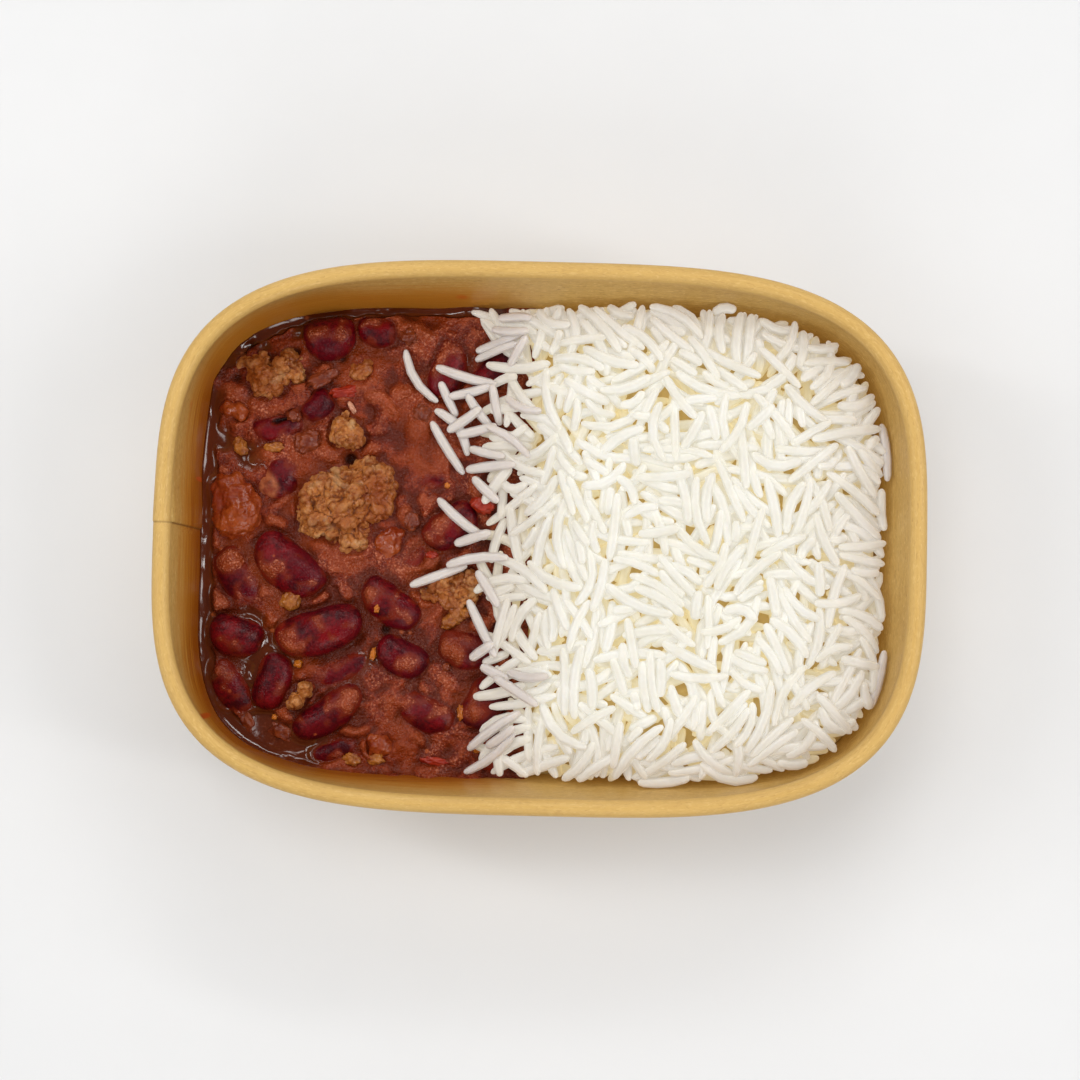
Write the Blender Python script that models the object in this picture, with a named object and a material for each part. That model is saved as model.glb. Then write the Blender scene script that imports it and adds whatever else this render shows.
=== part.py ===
"""A paper food tub filled with chili con carne on one side and boiled long-grain rice on the other.

Run with: blender --background --python part.py
The origin is at the middle of the tub's foot, +X runs along the tub from the chili to the rice and +Z is up.
"""

import math

import bmesh
import bpy
import numpy as np
from mathutils import Matrix, Vector, noise

MM = 0.001

# The tub
TUB_LENGTH = 172 * MM  # over the rolled rim
TUB_WIDTH = 123.5 * MM
TUB_HEIGHT = 55 * MM
RIM_POWER = 3.57  # of the superellipse at the rim, whose long sides bulge
FOOT_POWER = 4.9  # of the squarer one at the foot
FLARE_POWER = 5  # the higher, the nearer to the rim the outline changes
BOARD = 0.5 * MM  # thickness of the paper board
BEAD_RADIUS = 2 * MM  # outside of the rolled rim
BEAD_END = math.radians(-130)  # where the roll stops, seen in its cross-section
WALL_SLOPE = 0.19  # inwards for each unit down
FOOT_HEIGHT = 5.5 * MM  # the hem folded up inside the foot
FOOT_THICKNESS = 1.5 * MM  # wall, base flap and hem together
GAP = 0.3 * MM  # left between neighbouring solids
WAIST = 33 * MM  # a level where the wall's outline is set between foot and rim
OUTLINE_STEPS = 52

# The food
CHILI_LEVEL = 33 * MM  # height of the sauce
SPLIT_X = -3 * MM  # where chili and rice meet under the surface
RICE_EDGE_X = -9.5 * MM  # how far the rice lies out over the chili
RICE_RIM_LEVEL = 41.5 * MM  # height of the rice where it meets the tub
RICE_CROWN = 48 * MM
RICE_FRINGE_LEVEL = 36.5 * MM  # height of the rice where it thins out on the chili
CHILI_GRID = (8 * MM, 8 * MM)  # steps of the sauce's uneven top along X and Y
RICE_GRID = (8 * MM, 5 * MM)

BEAD_Z = TUB_HEIGHT - BEAD_RADIUS
BASE_BOTTOM = FOOT_HEIGHT + GAP
BASE_TOP = BASE_BOTTOM + BOARD
FOOD_FLOOR = BASE_TOP + GAP

# Kidney beans: x, y and rise above the sauce, length, width, thickness, in mm, then turn, tip and roll, in degrees
BEANS = (
    (-49.8, 46.2, 0.6, 12.2, 10.0, 9.0, 9, 0, 10),
    (-38.4, 48.2, -1.0, 10.5, 7.6, 8.0, 0, 6, 0),
    (-59.3, 46.9, -3.0, 9.0, 4.6, 6.5, 20, 0, 0),
    (-61.4, 25.2, -1.9, 13.0, 7.0, 7.6, 8, 4, 10),
    (-52.0, 30.6, -1.5, 8.8, 7.2, 7.5, 52, 0, 0),
    (-60.4, 13.9, -1.4, 11.6, 9.4, 8.0, 66, 4, 0),
    (-57.9, -6.9, 0.2, 18.8, 11.2, 9.5, -38, 0, 8),
    (-69.4, -9.7, -1.4, 15.6, 9.0, 8.0, -56, 5, 0),
    (-69.4, -23.2, 0.0, 12.6, 9.6, 9.0, -14, 0, 0),
    (-50.2, -21.7, 2.0, 20.6, 10.6, 9.0, 17, -4, -8),
    (-45.4, -30.6, -2.0, 16.8, 7.0, 7.4, 24, 0, 10),
    (-34.2, -15.1, 0.0, 15.6, 9.0, 8.5, -37, 0, 0),
    (-31.2, -27.2, 0.3, 12.6, 8.8, 8.5, -27, 0, 0),
    (-60.6, -33.4, -0.8, 13.6, 9.0, 8.0, 77, 5, 0),
    (-47.6, -40.4, 0.0, 18.4, 8.2, 8.0, 36, 0, -10),
    (-45.8, -48.7, -1.7, 12.4, 5.4, 6.2, 20, 0, 0),
    (-70.2, -35.1, -1.4, 14.4, 8.0, 7.5, -59, 4, 0),
    (-25.0, -40.0, -1.2, 14.2, 9.0, 8.5, -24, 0, 0),
    (-12.0, -37.4, -0.4, 12.6, 9.6, 8.5, 62, 0, 0),
    (-16.3, -25.2, -0.9, 13.4, 9.4, 8.5, -9, 0, 0),
    (-20.6, 3.1, -0.3, 14.2, 9.6, 8.5, 37, 0, 0),
    (-29.4, -5.6, -2.2, 10.4, 6.0, 7.0, 42, 0, 0),
    (-22.5, 39.8, -0.7, 15.0, 8.8, 8.5, 77, 0, 0),
    (-11.2, 39.6, -1.5, 12.4, 8.4, 8.0, 40, 0, 0),
    (-25.2, 14.2, -2.2, 9.6, 7.0, 7.4, 14, 0, 0),
    (-62.2, -18.0, -2.4, 6.6, 4.6, 5.5, -30, 0, 0),
    (-39.2, -20.6, -2.6, 9.0, 5.2, 5.4, -42, 0, 0),
)
BEAN_BEND = 0.13  # of its width, how far a bean's ends curl to one side
BEAN_BLUNTNESS = 2.5  # 2 is an ellipsoid, more is blunter
LARGE_BEAN = 14  # mm long and over has more steps around
LARGE_BEAN_STEPS = (10, 6)
SMALL_BEAN_STEPS = (8, 6)

# Clumps of mince: x, y, rise and half height, steps around and up, then each lobe's x, y and radius, in mm
MINCE = (
    (-63.2, 38.2, -0.2, 4.8, (12, 6), ((-3.4, 1.0, 4.2), (4.0, 1.8, 4.4), (-1.6, -2.4, 4.4))),
    (-42.8, 39.4, -1.0, 3.2, (8, 6), ((0, 0, 3.3),)),
    (-45.2, 24.2, 0.8, 4.4, (10, 6), ((0.4, -0.4, 4.0), (-1.0, 1.6, 3.4))),
    (-45.2, 8.6, -0.2, 6.8, (14, 8), ((-3.4, -1.4, 9.2), (5.0, 3.4, 7.2), (0.0, -4.8, 7.0))),
    (-53.9, -36.2, 3.4, 2.2, (8, 6), ((-1.3, -1.6, 2.2), (1.2, 1.5, 2.2))),
    (-19.6, -12.4, -0.8, 4.4, (12, 6), ((-3.2, 1.6, 4.6), (3.0, 1.8, 4.6), (0.6, -1.6, 4.2))),
)

# Lumps of tomato, given like the mince
TOMATO = (
    (-71.6, 29.0, 0.0, 2.8, (8, 6), ((-1.6, 0.2, 2.6), (1.6, -0.2, 2.6))),
    (-70.2, 6.8, -0.6, 4.8, (12, 8), ((-1.0, 3.4, 5.2), (1.4, -1.8, 5.6), (-1.6, -3.4, 5.0))),
    (-35.8, -47.4, -0.2, 3.2, (8, 6), ((0, 0, 3.4),)),
    (-34.6, -0.4, -1.0, 3.8, (10, 6), ((-0.4, -0.8, 4.0), (0.4, 1.0, 3.7))),
)

# Lumps that the sauce covers: x, y, radius and height, in mm
COVERED_LUMPS = (
    (-73.4, 33.0, 3.0, 1.6),
    (-28.0, 46.0, 5.0, 2.0),
    (-32.0, 49.0, 3.0, 1.2),
    (-17.0, 50.5, 5.0, 1.6),
    (-28.2, 27.8, 4.0, 1.6),
    (-54.8, 20.8, 3.6, 1.4),
    (-21.0, -31.6, 3.6, 1.4),
    (-42.0, 34.0, 4.0, 1.0),
    (-14.0, 9.0, 4.0, 1.2),
    (-39.0, -4.0, 4.5, 1.0),
)


def colour_of(srgb):
    """A named 8-bit colour as the linear values that a shader takes."""
    share = np.array(srgb) / 255
    linear = np.where(share <= 0.04045, share / 12.92, ((share + 0.055) / 1.055) ** 2.4)
    return (*linear.tolist(), 1)


def material(name, srgb, roughness):
    made = bpy.data.materials.new(name)
    made.use_nodes = True
    shader = made.node_tree.nodes["Principled BSDF"]
    shader.inputs["Base Color"].default_value = colour_of(srgb)
    shader.inputs["Roughness"].default_value = roughness
    shader.inputs["Metallic"].default_value = 0
    return made


def clear_scene():
    for obj in list(bpy.data.objects):
        bpy.data.objects.remove(obj)


def new_collection(name):
    made = bpy.data.collections.new(name)
    bpy.context.scene.collection.children.link(made)
    return made


def object_from(name, bm, collection, finish):
    """A mesh object from bmesh geometry, with its normals pointing out."""
    bmesh.ops.recalc_face_normals(bm, faces=bm.faces)
    mesh = bpy.data.meshes.new(name)
    bm.to_mesh(mesh)
    bm.free()
    mesh.shade_smooth()
    made = bpy.data.objects.new(name, mesh)
    if finish:
        mesh.materials.append(finish)
    collection.objects.link(made)
    return made


# ---- tub ----


def inner_half_sizes(z):
    """Half the length and half the width between the wall's inner faces at a height."""
    inset = 2 * BEAD_RADIUS + WALL_SLOPE * (BEAD_Z - z)
    return TUB_LENGTH / 2 - inset, TUB_WIDTH / 2 - inset


def outline_power(z):
    return FOOT_POWER + (RIM_POWER - FOOT_POWER) * (z / BEAD_Z) ** FLARE_POWER


def superellipse(z, angle):
    """Points of the wall's inner face at a height, in the directions of the angles."""
    half_length, half_width = inner_half_sizes(z)
    power = outline_power(z)
    sum_of_powers = np.abs(np.cos(angle) / half_length) ** power + np.abs(np.sin(angle) / half_width) ** power
    radius = sum_of_powers ** (-1 / power)
    return np.column_stack((radius * np.cos(angle), radius * np.sin(angle)))


def outline_angles():
    """Directions that split the rim's outline into equal steps."""
    angle = np.linspace(0, 2 * math.pi, 4001)
    steps = np.linalg.norm(np.diff(superellipse(BEAD_Z, angle), axis=0), axis=1)
    travelled = np.concatenate(([0], np.cumsum(steps)))
    return np.interp(np.arange(OUTLINE_STEPS) / OUTLINE_STEPS * travelled[-1], travelled, angle)


def ring(z, outwards=0.0):
    """The outline of the wall's inner face at a height, moved straight outwards."""
    points = superellipse(min(z, BEAD_Z), outline_angles())
    tangent = np.roll(points, -1, axis=0) - np.roll(points, 1, axis=0)
    tangent /= np.linalg.norm(tangent, axis=1)[:, None]
    return points + np.column_stack((tangent[:, 1], -tangent[:, 0])) * outwards


def loft(bm, sections, closed):
    """Skins a row of sections. The first and last are joined if closed, and capped if not."""
    rings = []
    for points, z in sections:
        rings.append([bm.verts.new((x, y, z)) for x, y in points])
    pairs = list(zip(rings, rings[1:]))
    if closed:
        pairs.append((rings[-1], rings[0]))
    else:
        bm.faces.new(rings[0])
        bm.faces.new(rings[-1])
    for pair in pairs:
        low, high = sorted(pair, key=lambda verts: verts[0].co.z)  # so that facing skins split their quads alike
        for i in range(OUTLINE_STEPS):
            j = (i + 1) % OUTLINE_STEPS
            bm.faces.new((low[i], low[j], high[j]))
            bm.faces.new((low[i], high[j], high[i]))


def bead_arc(radius, start, end, steps):
    """Rings round the middle of the rolled rim."""
    rings = []
    for angle in np.linspace(start, end, steps + 1):
        z = BEAD_Z + radius * math.sin(angle)
        rings.append((ring(BEAD_Z, BEAD_RADIUS + radius * math.cos(angle)), z))
    return rings


def build_wall(collection, finish):
    """The wall: up its outer face, round the rolled rim, down its inner face and round the folded foot."""
    sections = [(ring(z, BOARD), z) for z in (0, WAIST)]
    sections += bead_arc(BEAD_RADIUS - BOARD, math.pi, BEAD_END, 5)
    sections += bead_arc(BEAD_RADIUS, BEAD_END, math.pi, 7)
    sections += [(ring(z), z) for z in (WAIST, FOOT_HEIGHT)]
    sections += [(ring(z, BOARD - FOOT_THICKNESS), z) for z in (FOOT_HEIGHT, 0)]
    bm = bmesh.new()
    loft(bm, sections, closed=True)
    return object_from("tub_wall", bm, collection, finish)


def build_base(collection, finish):
    """A flat panel that rests on the folded foot."""
    panel = bpy.data.curves.new("tub_base", "CURVE")
    panel.dimensions = "2D"
    panel.fill_mode = "BOTH"
    panel.extrude = BOARD / 2
    spline = panel.splines.new("POLY")
    spline.points.add(OUTLINE_STEPS - 1)
    for point, (x, y) in zip(spline.points, ring(BASE_BOTTOM, -GAP)):
        point.co = (x, y, 0, 1)
    spline.use_cyclic_u = True
    base = bpy.data.objects.new("tub_base", panel)
    base.location.z = (BASE_BOTTOM + BASE_TOP) / 2
    panel.materials.append(finish)
    collection.objects.link(base)
    return base


def build_cavity(guides):
    """The space inside the tub that food can fill, as a helper."""
    bm = bmesh.new()
    loft(bm, [(ring(z, -GAP), z) for z in (FOOD_FLOOR, WAIST, BEAD_Z)], closed=False)
    cavity = object_from("food_space", bm, guides, None)
    hide(cavity)
    return cavity


def hide(obj):
    obj.hide_render = True
    obj.display_type = "WIRE"


# ---- food blocks ----


def ripple(x, y, size):
    """Smooth unevenness from -1 to 1, with features about as large as size."""
    return noise.noise(Vector((x / size, y / size, 3.7)))


def smooth_step(low, high, value):
    share = min(1, max(0, (value - low) / (high - low)))
    return share * share * (3 - 2 * share)


def chili_height(x, y):
    height = CHILI_LEVEL + 0.7 * MM * ripple(x, y, 13 * MM)
    for lump_x, lump_y, radius, rise in COVERED_LUMPS:
        distance = math.hypot(x / MM - lump_x, y / MM - lump_y) / radius
        height += rise * MM * math.exp(-distance * distance)
    return height


def rice_height(x, y):
    half_length, half_width = inner_half_sizes(RICE_RIM_LEVEL)
    power = outline_power(RICE_RIM_LEVEL)
    reach = min(1, (abs(x / half_length) ** power + abs(y / half_width) ** power) ** (1 / power))
    dome = RICE_RIM_LEVEL + (RICE_CROWN - RICE_RIM_LEVEL) * (1 - reach**4)
    bank = smooth_step(RICE_EDGE_X, RICE_EDGE_X + 22 * MM, x)
    level = RICE_FRINGE_LEVEL + (dome - RICE_FRINGE_LEVEL) * bank
    return level + 1.0 * MM * ripple(x, y, 9 * MM) * (0.5 + 0.5 * bank)


def split_line(y):
    return SPLIT_X + 1.2 * MM * math.sin(y / (11 * MM))


def rice_edge(y):
    return RICE_EDGE_X + 4.5 * MM * ripple(0, y, 9 * MM)


def block(name, left, right, height, grid, lift, collection, finish):
    """A block with a wavy top between two lines that run along Y. Its sides and bottom lie past the tub's."""
    half_width = TUB_WIDTH / 2
    columns = round((right(0) - left(0)) / grid[0])
    rows = round(2 * half_width / grid[1])
    bm = bmesh.new()
    bmesh.ops.create_grid(bm, x_segments=columns, y_segments=rows, size=0.5)
    for vert in bm.verts:
        y = vert.co.y * 2 * half_width
        x = left(y) + (right(y) - left(y)) * (vert.co.x + 0.5)
        vert.co = (x, y, height(x, y) + lift)
    bottom = bmesh.ops.extrude_face_region(bm, geom=bm.faces[:])["geom"]
    for item in bottom:
        if isinstance(item, bmesh.types.BMVert):
            item.co.z = FOOD_FLOOR - 5 * MM
    return object_from(name, bm, collection, finish)


def boolean(obj, other, operation):
    modifier = obj.modifiers.new(f"{operation.lower()} {other.name}", "BOOLEAN")
    modifier.operation = operation
    modifier.object = other
    modifier.solver = "EXACT"


# ---- pieces in the sauce ----


def build_bean(name, row, collection, finish):
    """A kidney bean: a blunt ellipsoid whose ends curl to one side."""
    x, y, rise, length, width, thickness, turn, tip, roll = row
    around, up = LARGE_BEAN_STEPS if length >= LARGE_BEAN else SMALL_BEAN_STEPS
    lengthways = Matrix.Rotation(math.pi / 2, 4, "Y")
    bm = bmesh.new()
    bmesh.ops.create_uvsphere(bm, u_segments=around, v_segments=up, radius=1, matrix=lengthways)
    for vert in bm.verts:
        along = vert.co.x
        ring = math.hypot(vert.co.y, vert.co.z)
        full = (1 - min(1, abs(along)) ** BEAN_BLUNTNESS) ** (1 / BEAN_BLUNTNESS)
        swell = full / ring if ring > 1e-4 else 0
        bend = BEAN_BEND * width * (along * along - 0.4)
        vert.co = Vector((along * length, vert.co.y * swell * width, vert.co.z * swell * thickness)) * MM / 2
        vert.co.y += bend * MM
    bean = object_from(name, bm, collection, finish)
    bean.location = (x * MM, y * MM, CHILI_LEVEL + rise * MM)
    bean.rotation_euler = [math.radians(a) for a in (roll, tip, turn)]
    return bean


def lobe_reach(direction, lobes, half_height):
    """How far a clump of round lobes reaches from its middle in a direction, in mm."""
    flat = Vector((direction.x, direction.y, 0))
    furthest = 0
    for x, y, radius in lobes:
        squash = half_height / max(lobe[2] for lobe in lobes)
        aim = Vector((direction.x, direction.y, direction.z / squash))
        centre = Vector((x, y, 0))
        a, b = aim.length_squared, flat.dot(centre)
        c = centre.length_squared - radius * radius
        furthest = max(furthest, (b + math.sqrt(max(0, b * b - a * c))) / a)
    return furthest


def build_clump(name, row, roughness, collection, finish):
    """A clump of mince or tomato: joined round lobes with an uneven surface."""
    x, y, rise, half_height, steps, lobes = row
    bm = bmesh.new()
    bmesh.ops.create_uvsphere(bm, u_segments=steps[0], v_segments=steps[1], radius=1)
    for vert in bm.verts:
        direction = vert.co.normalized()
        reach = lobe_reach(direction, lobes, half_height)
        uneven = 1 + roughness * noise.noise(direction * 2.6 + Vector((x, y, 0)))
        vert.co = direction * reach * uneven * MM
    bmesh.ops.triangulate(bm, faces=bm.faces)
    clump = object_from(name, bm, collection, finish)
    clump.location = (x * MM, y * MM, CHILI_LEVEL + rise * MM)
    return clump


def cutter_for(piece, guides):
    """A copy of a piece, grown by the gap that the sauce keeps to it."""
    bm = bmesh.new()
    bm.from_mesh(piece.data)
    bm.normal_update()
    for vert in bm.verts:
        vert.co += vert.normal * GAP * vert.calc_shell_factor()
    cutter = object_from(f"cutter_{piece.name}", bm, guides, None)
    cutter.location = piece.location
    cutter.rotation_euler = piece.rotation_euler
    hide(cutter)
    return cutter


def build_pieces(collection, finishes):
    pieces = []
    for number, row in enumerate(BEANS, 1):
        pieces.append(build_bean(f"bean_{number:02d}", row, collection, finishes["bean"]))
    for number, row in enumerate(MINCE, 1):
        pieces.append(build_clump(f"mince_{number}", row, 0.22, collection, finishes["mince"]))
    for number, row in enumerate(TOMATO, 1):
        pieces.append(build_clump(f"tomato_{number}", row, 0.16, collection, finishes["tomato"]))
    return pieces


def build_chili(cavity, cutters, collection, finish):
    """The sauce: all of the tub left of the split, up to its level, with a pocket for each piece."""
    past_wall = lambda y: -TUB_LENGTH / 2
    chili = block("chili_sauce", past_wall, split_line, chili_height, CHILI_GRID, 0, collection, finish)
    boolean(chili, cavity, "INTERSECT")
    for cutter in cutters:
        boolean(chili, cutter, "DIFFERENCE")
    return chili


def build_rice(cavity, cutters, collection, guides, finish):
    """The rice heap: right of the split, and lying out over the edge of the chili."""
    past_wall = lambda y: TUB_LENGTH / 2
    rice = block("rice_heap", rice_edge, past_wall, rice_height, RICE_GRID, 0, collection, finish)
    boolean(rice, cavity, "INTERSECT")
    past_split = lambda y: split_line(y) + GAP
    far_left = lambda y: -TUB_LENGTH / 2
    chili_space = block("cutter_chili", far_left, past_split, chili_height, CHILI_GRID, GAP, guides, None)
    hide(chili_space)
    boolean(rice, chili_space, "DIFFERENCE")
    for cutter in cutters:
        reach = max((cutter.matrix_basis @ vert.co).x for vert in cutter.data.vertices)
        if reach > RICE_EDGE_X - 2 * MM:
            boolean(rice, cutter, "DIFFERENCE")
    return rice


def main():
    clear_scene()
    parts = new_collection("chili_con_carne")
    guides = new_collection("cutters")
    finishes = {
        "board": material("kraft_board", (196, 156, 88), 0.55),
        "sauce": material("chili_sauce", (122, 48, 24), 0.25),
        "bean": material("kidney_bean", (92, 22, 26), 0.3),
        "mince": material("mince", (146, 96, 52), 0.6),
        "tomato": material("tomato", (160, 54, 22), 0.35),
        "rice": material("rice", (238, 236, 226), 0.45),
    }
    build_wall(parts, finishes["board"])
    build_base(parts, finishes["board"])
    cavity = build_cavity(guides)
    pieces = build_pieces(parts, finishes)
    cutters = [cutter_for(piece, guides) for piece in pieces]
    build_chili(cavity, cutters, parts, finishes["sauce"])
    build_rice(cavity, cutters, parts, guides, finishes["rice"])


main()
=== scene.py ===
import math

import bmesh
import bpy
import numpy as np
from mathutils import Matrix, Quaternion, Vector, noise
from mathutils.bvhtree import BVHTree


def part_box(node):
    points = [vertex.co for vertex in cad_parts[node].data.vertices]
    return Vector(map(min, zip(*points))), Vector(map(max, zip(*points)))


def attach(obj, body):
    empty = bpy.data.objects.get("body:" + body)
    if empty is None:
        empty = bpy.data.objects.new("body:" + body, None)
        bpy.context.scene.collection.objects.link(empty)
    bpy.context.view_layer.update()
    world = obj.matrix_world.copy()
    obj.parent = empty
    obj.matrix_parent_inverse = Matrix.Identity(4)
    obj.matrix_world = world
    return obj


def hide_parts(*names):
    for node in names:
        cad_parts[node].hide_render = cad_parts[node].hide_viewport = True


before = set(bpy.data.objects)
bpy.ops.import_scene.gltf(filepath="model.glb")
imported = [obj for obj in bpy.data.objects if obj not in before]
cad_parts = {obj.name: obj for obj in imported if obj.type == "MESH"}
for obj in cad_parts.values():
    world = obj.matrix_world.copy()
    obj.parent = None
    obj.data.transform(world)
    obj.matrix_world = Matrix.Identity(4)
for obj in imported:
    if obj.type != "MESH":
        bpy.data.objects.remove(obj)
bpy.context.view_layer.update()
scene = bpy.context.scene
mm = 0.001
print("frame loaded:", len(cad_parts), "solids")

# Everything below is worked out in millimetres and turned into metres when a mesh is made.


# Small helpers for shapes.

noiseRng = np.random.default_rng(11)
noiseOrder = noiseRng.permutation(256)
noiseTurns = noiseRng.random(256) * 2 * math.pi
noise.seed_set(11)  # else the noise vectors start from the clock


# smooth unevenness from about -1 to 1, with features about as large as size
def swell(x, y, size, seed=0):
    gridX, gridY = x / size + 37.13 * seed, y / size - 19.71 * seed
    cellX, cellY = np.floor(gridX).astype(int), np.floor(gridY).astype(int)
    fracX, fracY = gridX - cellX, gridY - cellY

    def corner(stepX, stepY):
        turn = noiseTurns[noiseOrder[(noiseOrder[(cellX + stepX) & 255] + cellY + stepY) & 255]]
        return np.cos(turn) * (fracX - stepX) + np.sin(turn) * (fracY - stepY)

    easeX = fracX**3 * (fracX * (fracX * 6 - 15) + 10)
    easeY = fracY**3 * (fracY * (fracY * 6 - 15) + 10)
    near = corner(0, 0) + easeX * (corner(1, 0) - corner(0, 0))
    far = corner(0, 1) + easeX * (corner(1, 1) - corner(0, 1))
    return 1.6 * (near + easeY * (far - near))


def smoothStep(low, high, value):
    share = np.clip((value - low) / (high - low), 0, 1)
    return share * share * (3 - 2 * share)


# a field of numbers, softened over a number of cells
def blurred(field, cells):
    reach = math.ceil(3 * cells)
    weights = np.exp(-0.5 * (np.arange(-reach, reach + 1) / cells) ** 2)
    weights /= weights.sum()
    for axis in (0, 1):
        margins = [(0, 0), (0, 0)]
        margins[axis] = (reach, reach)
        padded = np.pad(field, margins, mode="edge")
        size = field.shape[axis]
        field = sum(w * np.take(padded, range(k, k + size), axis=axis) for k, w in enumerate(weights))
    return field


# the higher of two surfaces, with a fillet of about the given width
def softMax(a, b, width):
    overlap = np.clip(1 - np.abs(a - b) / width, 0, 1)
    return np.maximum(a, b) + width * overlap**2 / 4


# sums round bumps given as rows of x, y, radius and amount
def bumps(x, y, rows):
    total = np.zeros_like(x, dtype=float)
    for bumpX, bumpY, radius, amount in rows:
        total += amount * np.exp(-((x - bumpX) ** 2 + (y - bumpY) ** 2) / radius**2)
    return total


def addObject(name, data):
    made = bpy.data.objects.new(name, data)
    scene.collection.objects.link(made)
    return made


def addPiece(name, points, faces, finish, edges=()):
    mesh = bpy.data.meshes.new(name)
    mesh.from_pydata((np.asarray(points) * mm).tolist(), list(edges), faces)
    mesh.materials.append(finish)
    mesh.shade_smooth()
    return addObject(name, mesh)


# faces between rings of points, each of count points and following one another in the mesh
def ringFaces(rings, count, first=0, closed=False):
    faces = []
    for ring in range(rings if closed else rings - 1):
        near, far = first + ring * count, first + (ring + 1) % rings * count
        for step in range(count):
            after = (step + 1) % count
            faces.append((near + step, near + after, far + after, far + step))
    return faces


def setNumbers(mesh, name, values):
    mesh.attributes.new(name, "FLOAT", "POINT").data.foreach_set("value", np.asarray(values, np.float32).ravel())


def getPoints(mesh):
    flat = np.empty(len(mesh.vertices) * 3)
    mesh.vertices.foreach_get("co", flat)
    return flat.reshape(-1, 3) / mm


def setPoints(mesh, points):
    mesh.vertices.foreach_set("co", (points * mm).ravel())
    mesh.update()


def getNormals(mesh):
    flat = np.empty(len(mesh.vertices) * 3)
    mesh.vertex_normals.foreach_get("vector", flat)
    return flat.reshape(-1, 3)


# a copy of a solid of the frame, with its loose triangles joined
def mergedCopy(node, name):
    copied = bmesh.new()
    copied.from_mesh(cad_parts[node].data)
    bmesh.ops.remove_doubles(copied, verts=copied.verts, dist=0.02 * mm)
    mesh = bpy.data.meshes.new(name)
    copied.to_mesh(mesh)
    copied.free()
    return addObject(name, mesh)


# puts the result of an object's modifiers in its mesh and removes them
def applyModifiers(piece):
    depsgraph = bpy.context.evaluated_depsgraph_get()
    result = bpy.data.meshes.new_from_object(piece.evaluated_get(depsgraph), depsgraph=depsgraph)
    piece.modifiers.clear()
    piece.data = result
    result.name = piece.name


# how far each point lies under the smoothed surface: above 0 in hollows, below 0 on crests
def hollows(mesh, rounds):
    points, normals = getPoints(mesh), getNormals(mesh)
    edges = np.empty(len(mesh.edges) * 2, int)
    mesh.edges.foreach_get("vertices", edges)
    edges = edges.reshape(-1, 2)
    ends, others = np.concatenate((edges[:, 0], edges[:, 1])), np.concatenate((edges[:, 1], edges[:, 0]))
    counts = np.bincount(ends, minlength=len(points))[:, None]
    smoothed = points.copy()
    for _ in range(rounds):
        sums = [np.bincount(ends, weights=smoothed[others, axis], minlength=len(points)) for axis in range(3)]
        smoothed = np.column_stack(sums) / counts
    return np.einsum("ij,ij->i", smoothed - points, normals)


# Small helpers for node trees.


def addNode(tree, kind, inputs=None, **settings):
    node = tree.nodes.new(kind)
    for key, value in settings.items():
        setattr(node, key, value)
    for key, value in (inputs or {}).items():
        if isinstance(value, bpy.types.NodeSocket):
            tree.links.new(value, node.inputs[key])
        else:
            node.inputs[key].default_value = value
    return node


def startGroup(name, inputs, outputs):
    tree = bpy.data.node_groups.new(name, "ShaderNodeTree")
    for label, kind, value in inputs:
        socket = tree.interface.new_socket(label, in_out="INPUT", socket_type="NodeSocket" + kind)
        if value is not None:
            socket.default_value = value
    for label, kind in outputs:
        tree.interface.new_socket(label, in_out="OUTPUT", socket_type="NodeSocket" + kind)
    return tree, tree.nodes.new("NodeGroupInput").outputs, tree.nodes.new("NodeGroupOutput").inputs


# the socket whose name, without its spaces, is the given word
def socketFor(node, word):
    return next(socket for socket in node.inputs if socket.name.replace(" ", "").lower() == word.lower())


def placeGroup(tree, group, **inputs):
    node = tree.nodes.new("ShaderNodeGroup")
    node.node_tree = group
    for word, value in inputs.items():
        if isinstance(value, bpy.types.NodeSocket):
            tree.links.new(value, socketFor(node, word))
        else:
            socketFor(node, word).default_value = value
    return node.outputs


# a node tree for shapes with its named inputs, between a geometry and a finish
def startShapeTree(name, inputs):
    tree = bpy.data.node_groups.new(name, "GeometryNodeTree")
    sockets = {}
    for label, kind in {"Geometry": "Geometry", **inputs, "Finish": "Material"}.items():
        socket = tree.interface.new_socket(label, in_out="INPUT", socket_type="NodeSocket" + kind)
        sockets[label] = socket.identifier
    tree.interface.new_socket("Geometry", in_out="OUTPUT", socket_type="NodeSocketGeometry")
    return tree, sockets, tree.nodes.new("NodeGroupInput").outputs


def endShapeTree(tree, geometry, finish):
    real = addNode(tree, "GeometryNodeRealizeInstances", {"Geometry": geometry}).outputs[0]
    finished = addNode(tree, "GeometryNodeSetMaterial", {"Geometry": real, "Material": finish}).outputs[0]
    tree.links.new(finished, tree.nodes.new("NodeGroupOutput").inputs[0])


def shifted(tree, geometry, offset):
    return addNode(tree, "GeometryNodeSetPosition", {"Geometry": geometry, "Offset": offset}).outputs[0]


def scaled(tree, vector, scale):
    return addNode(tree, "ShaderNodeVectorMath", {0: vector, "Scale": scale}, operation="SCALE").outputs[0]


# a number, or a vector where the ends are given as vectors
def chanceBetween(tree, low, high, seed):
    if isinstance(low, tuple):
        keys = {0: low, 1: high, "Seed": seed}
        return addNode(tree, "FunctionNodeRandomValue", keys, data_type="FLOAT_VECTOR").outputs[0]
    return addNode(tree, "FunctionNodeRandomValue", {2: low, 3: high, "Seed": seed}, data_type="FLOAT").outputs[1]


# 8-bit colour as the linear values that a shader takes
def shade(red, green, blue):
    share = np.array((red, green, blue)) / 255
    linear = np.where(share <= 0.04045, share / 12.92, ((share + 0.055) / 1.055) ** 2.4)
    return (*linear.tolist(), 1)


def math2(tree, operation, first, second=0.0, clamp=False):
    node = addNode(tree, "ShaderNodeMath", {0: first, 1: second}, operation=operation)
    node.use_clamp = clamp
    return node.outputs[0]


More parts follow.
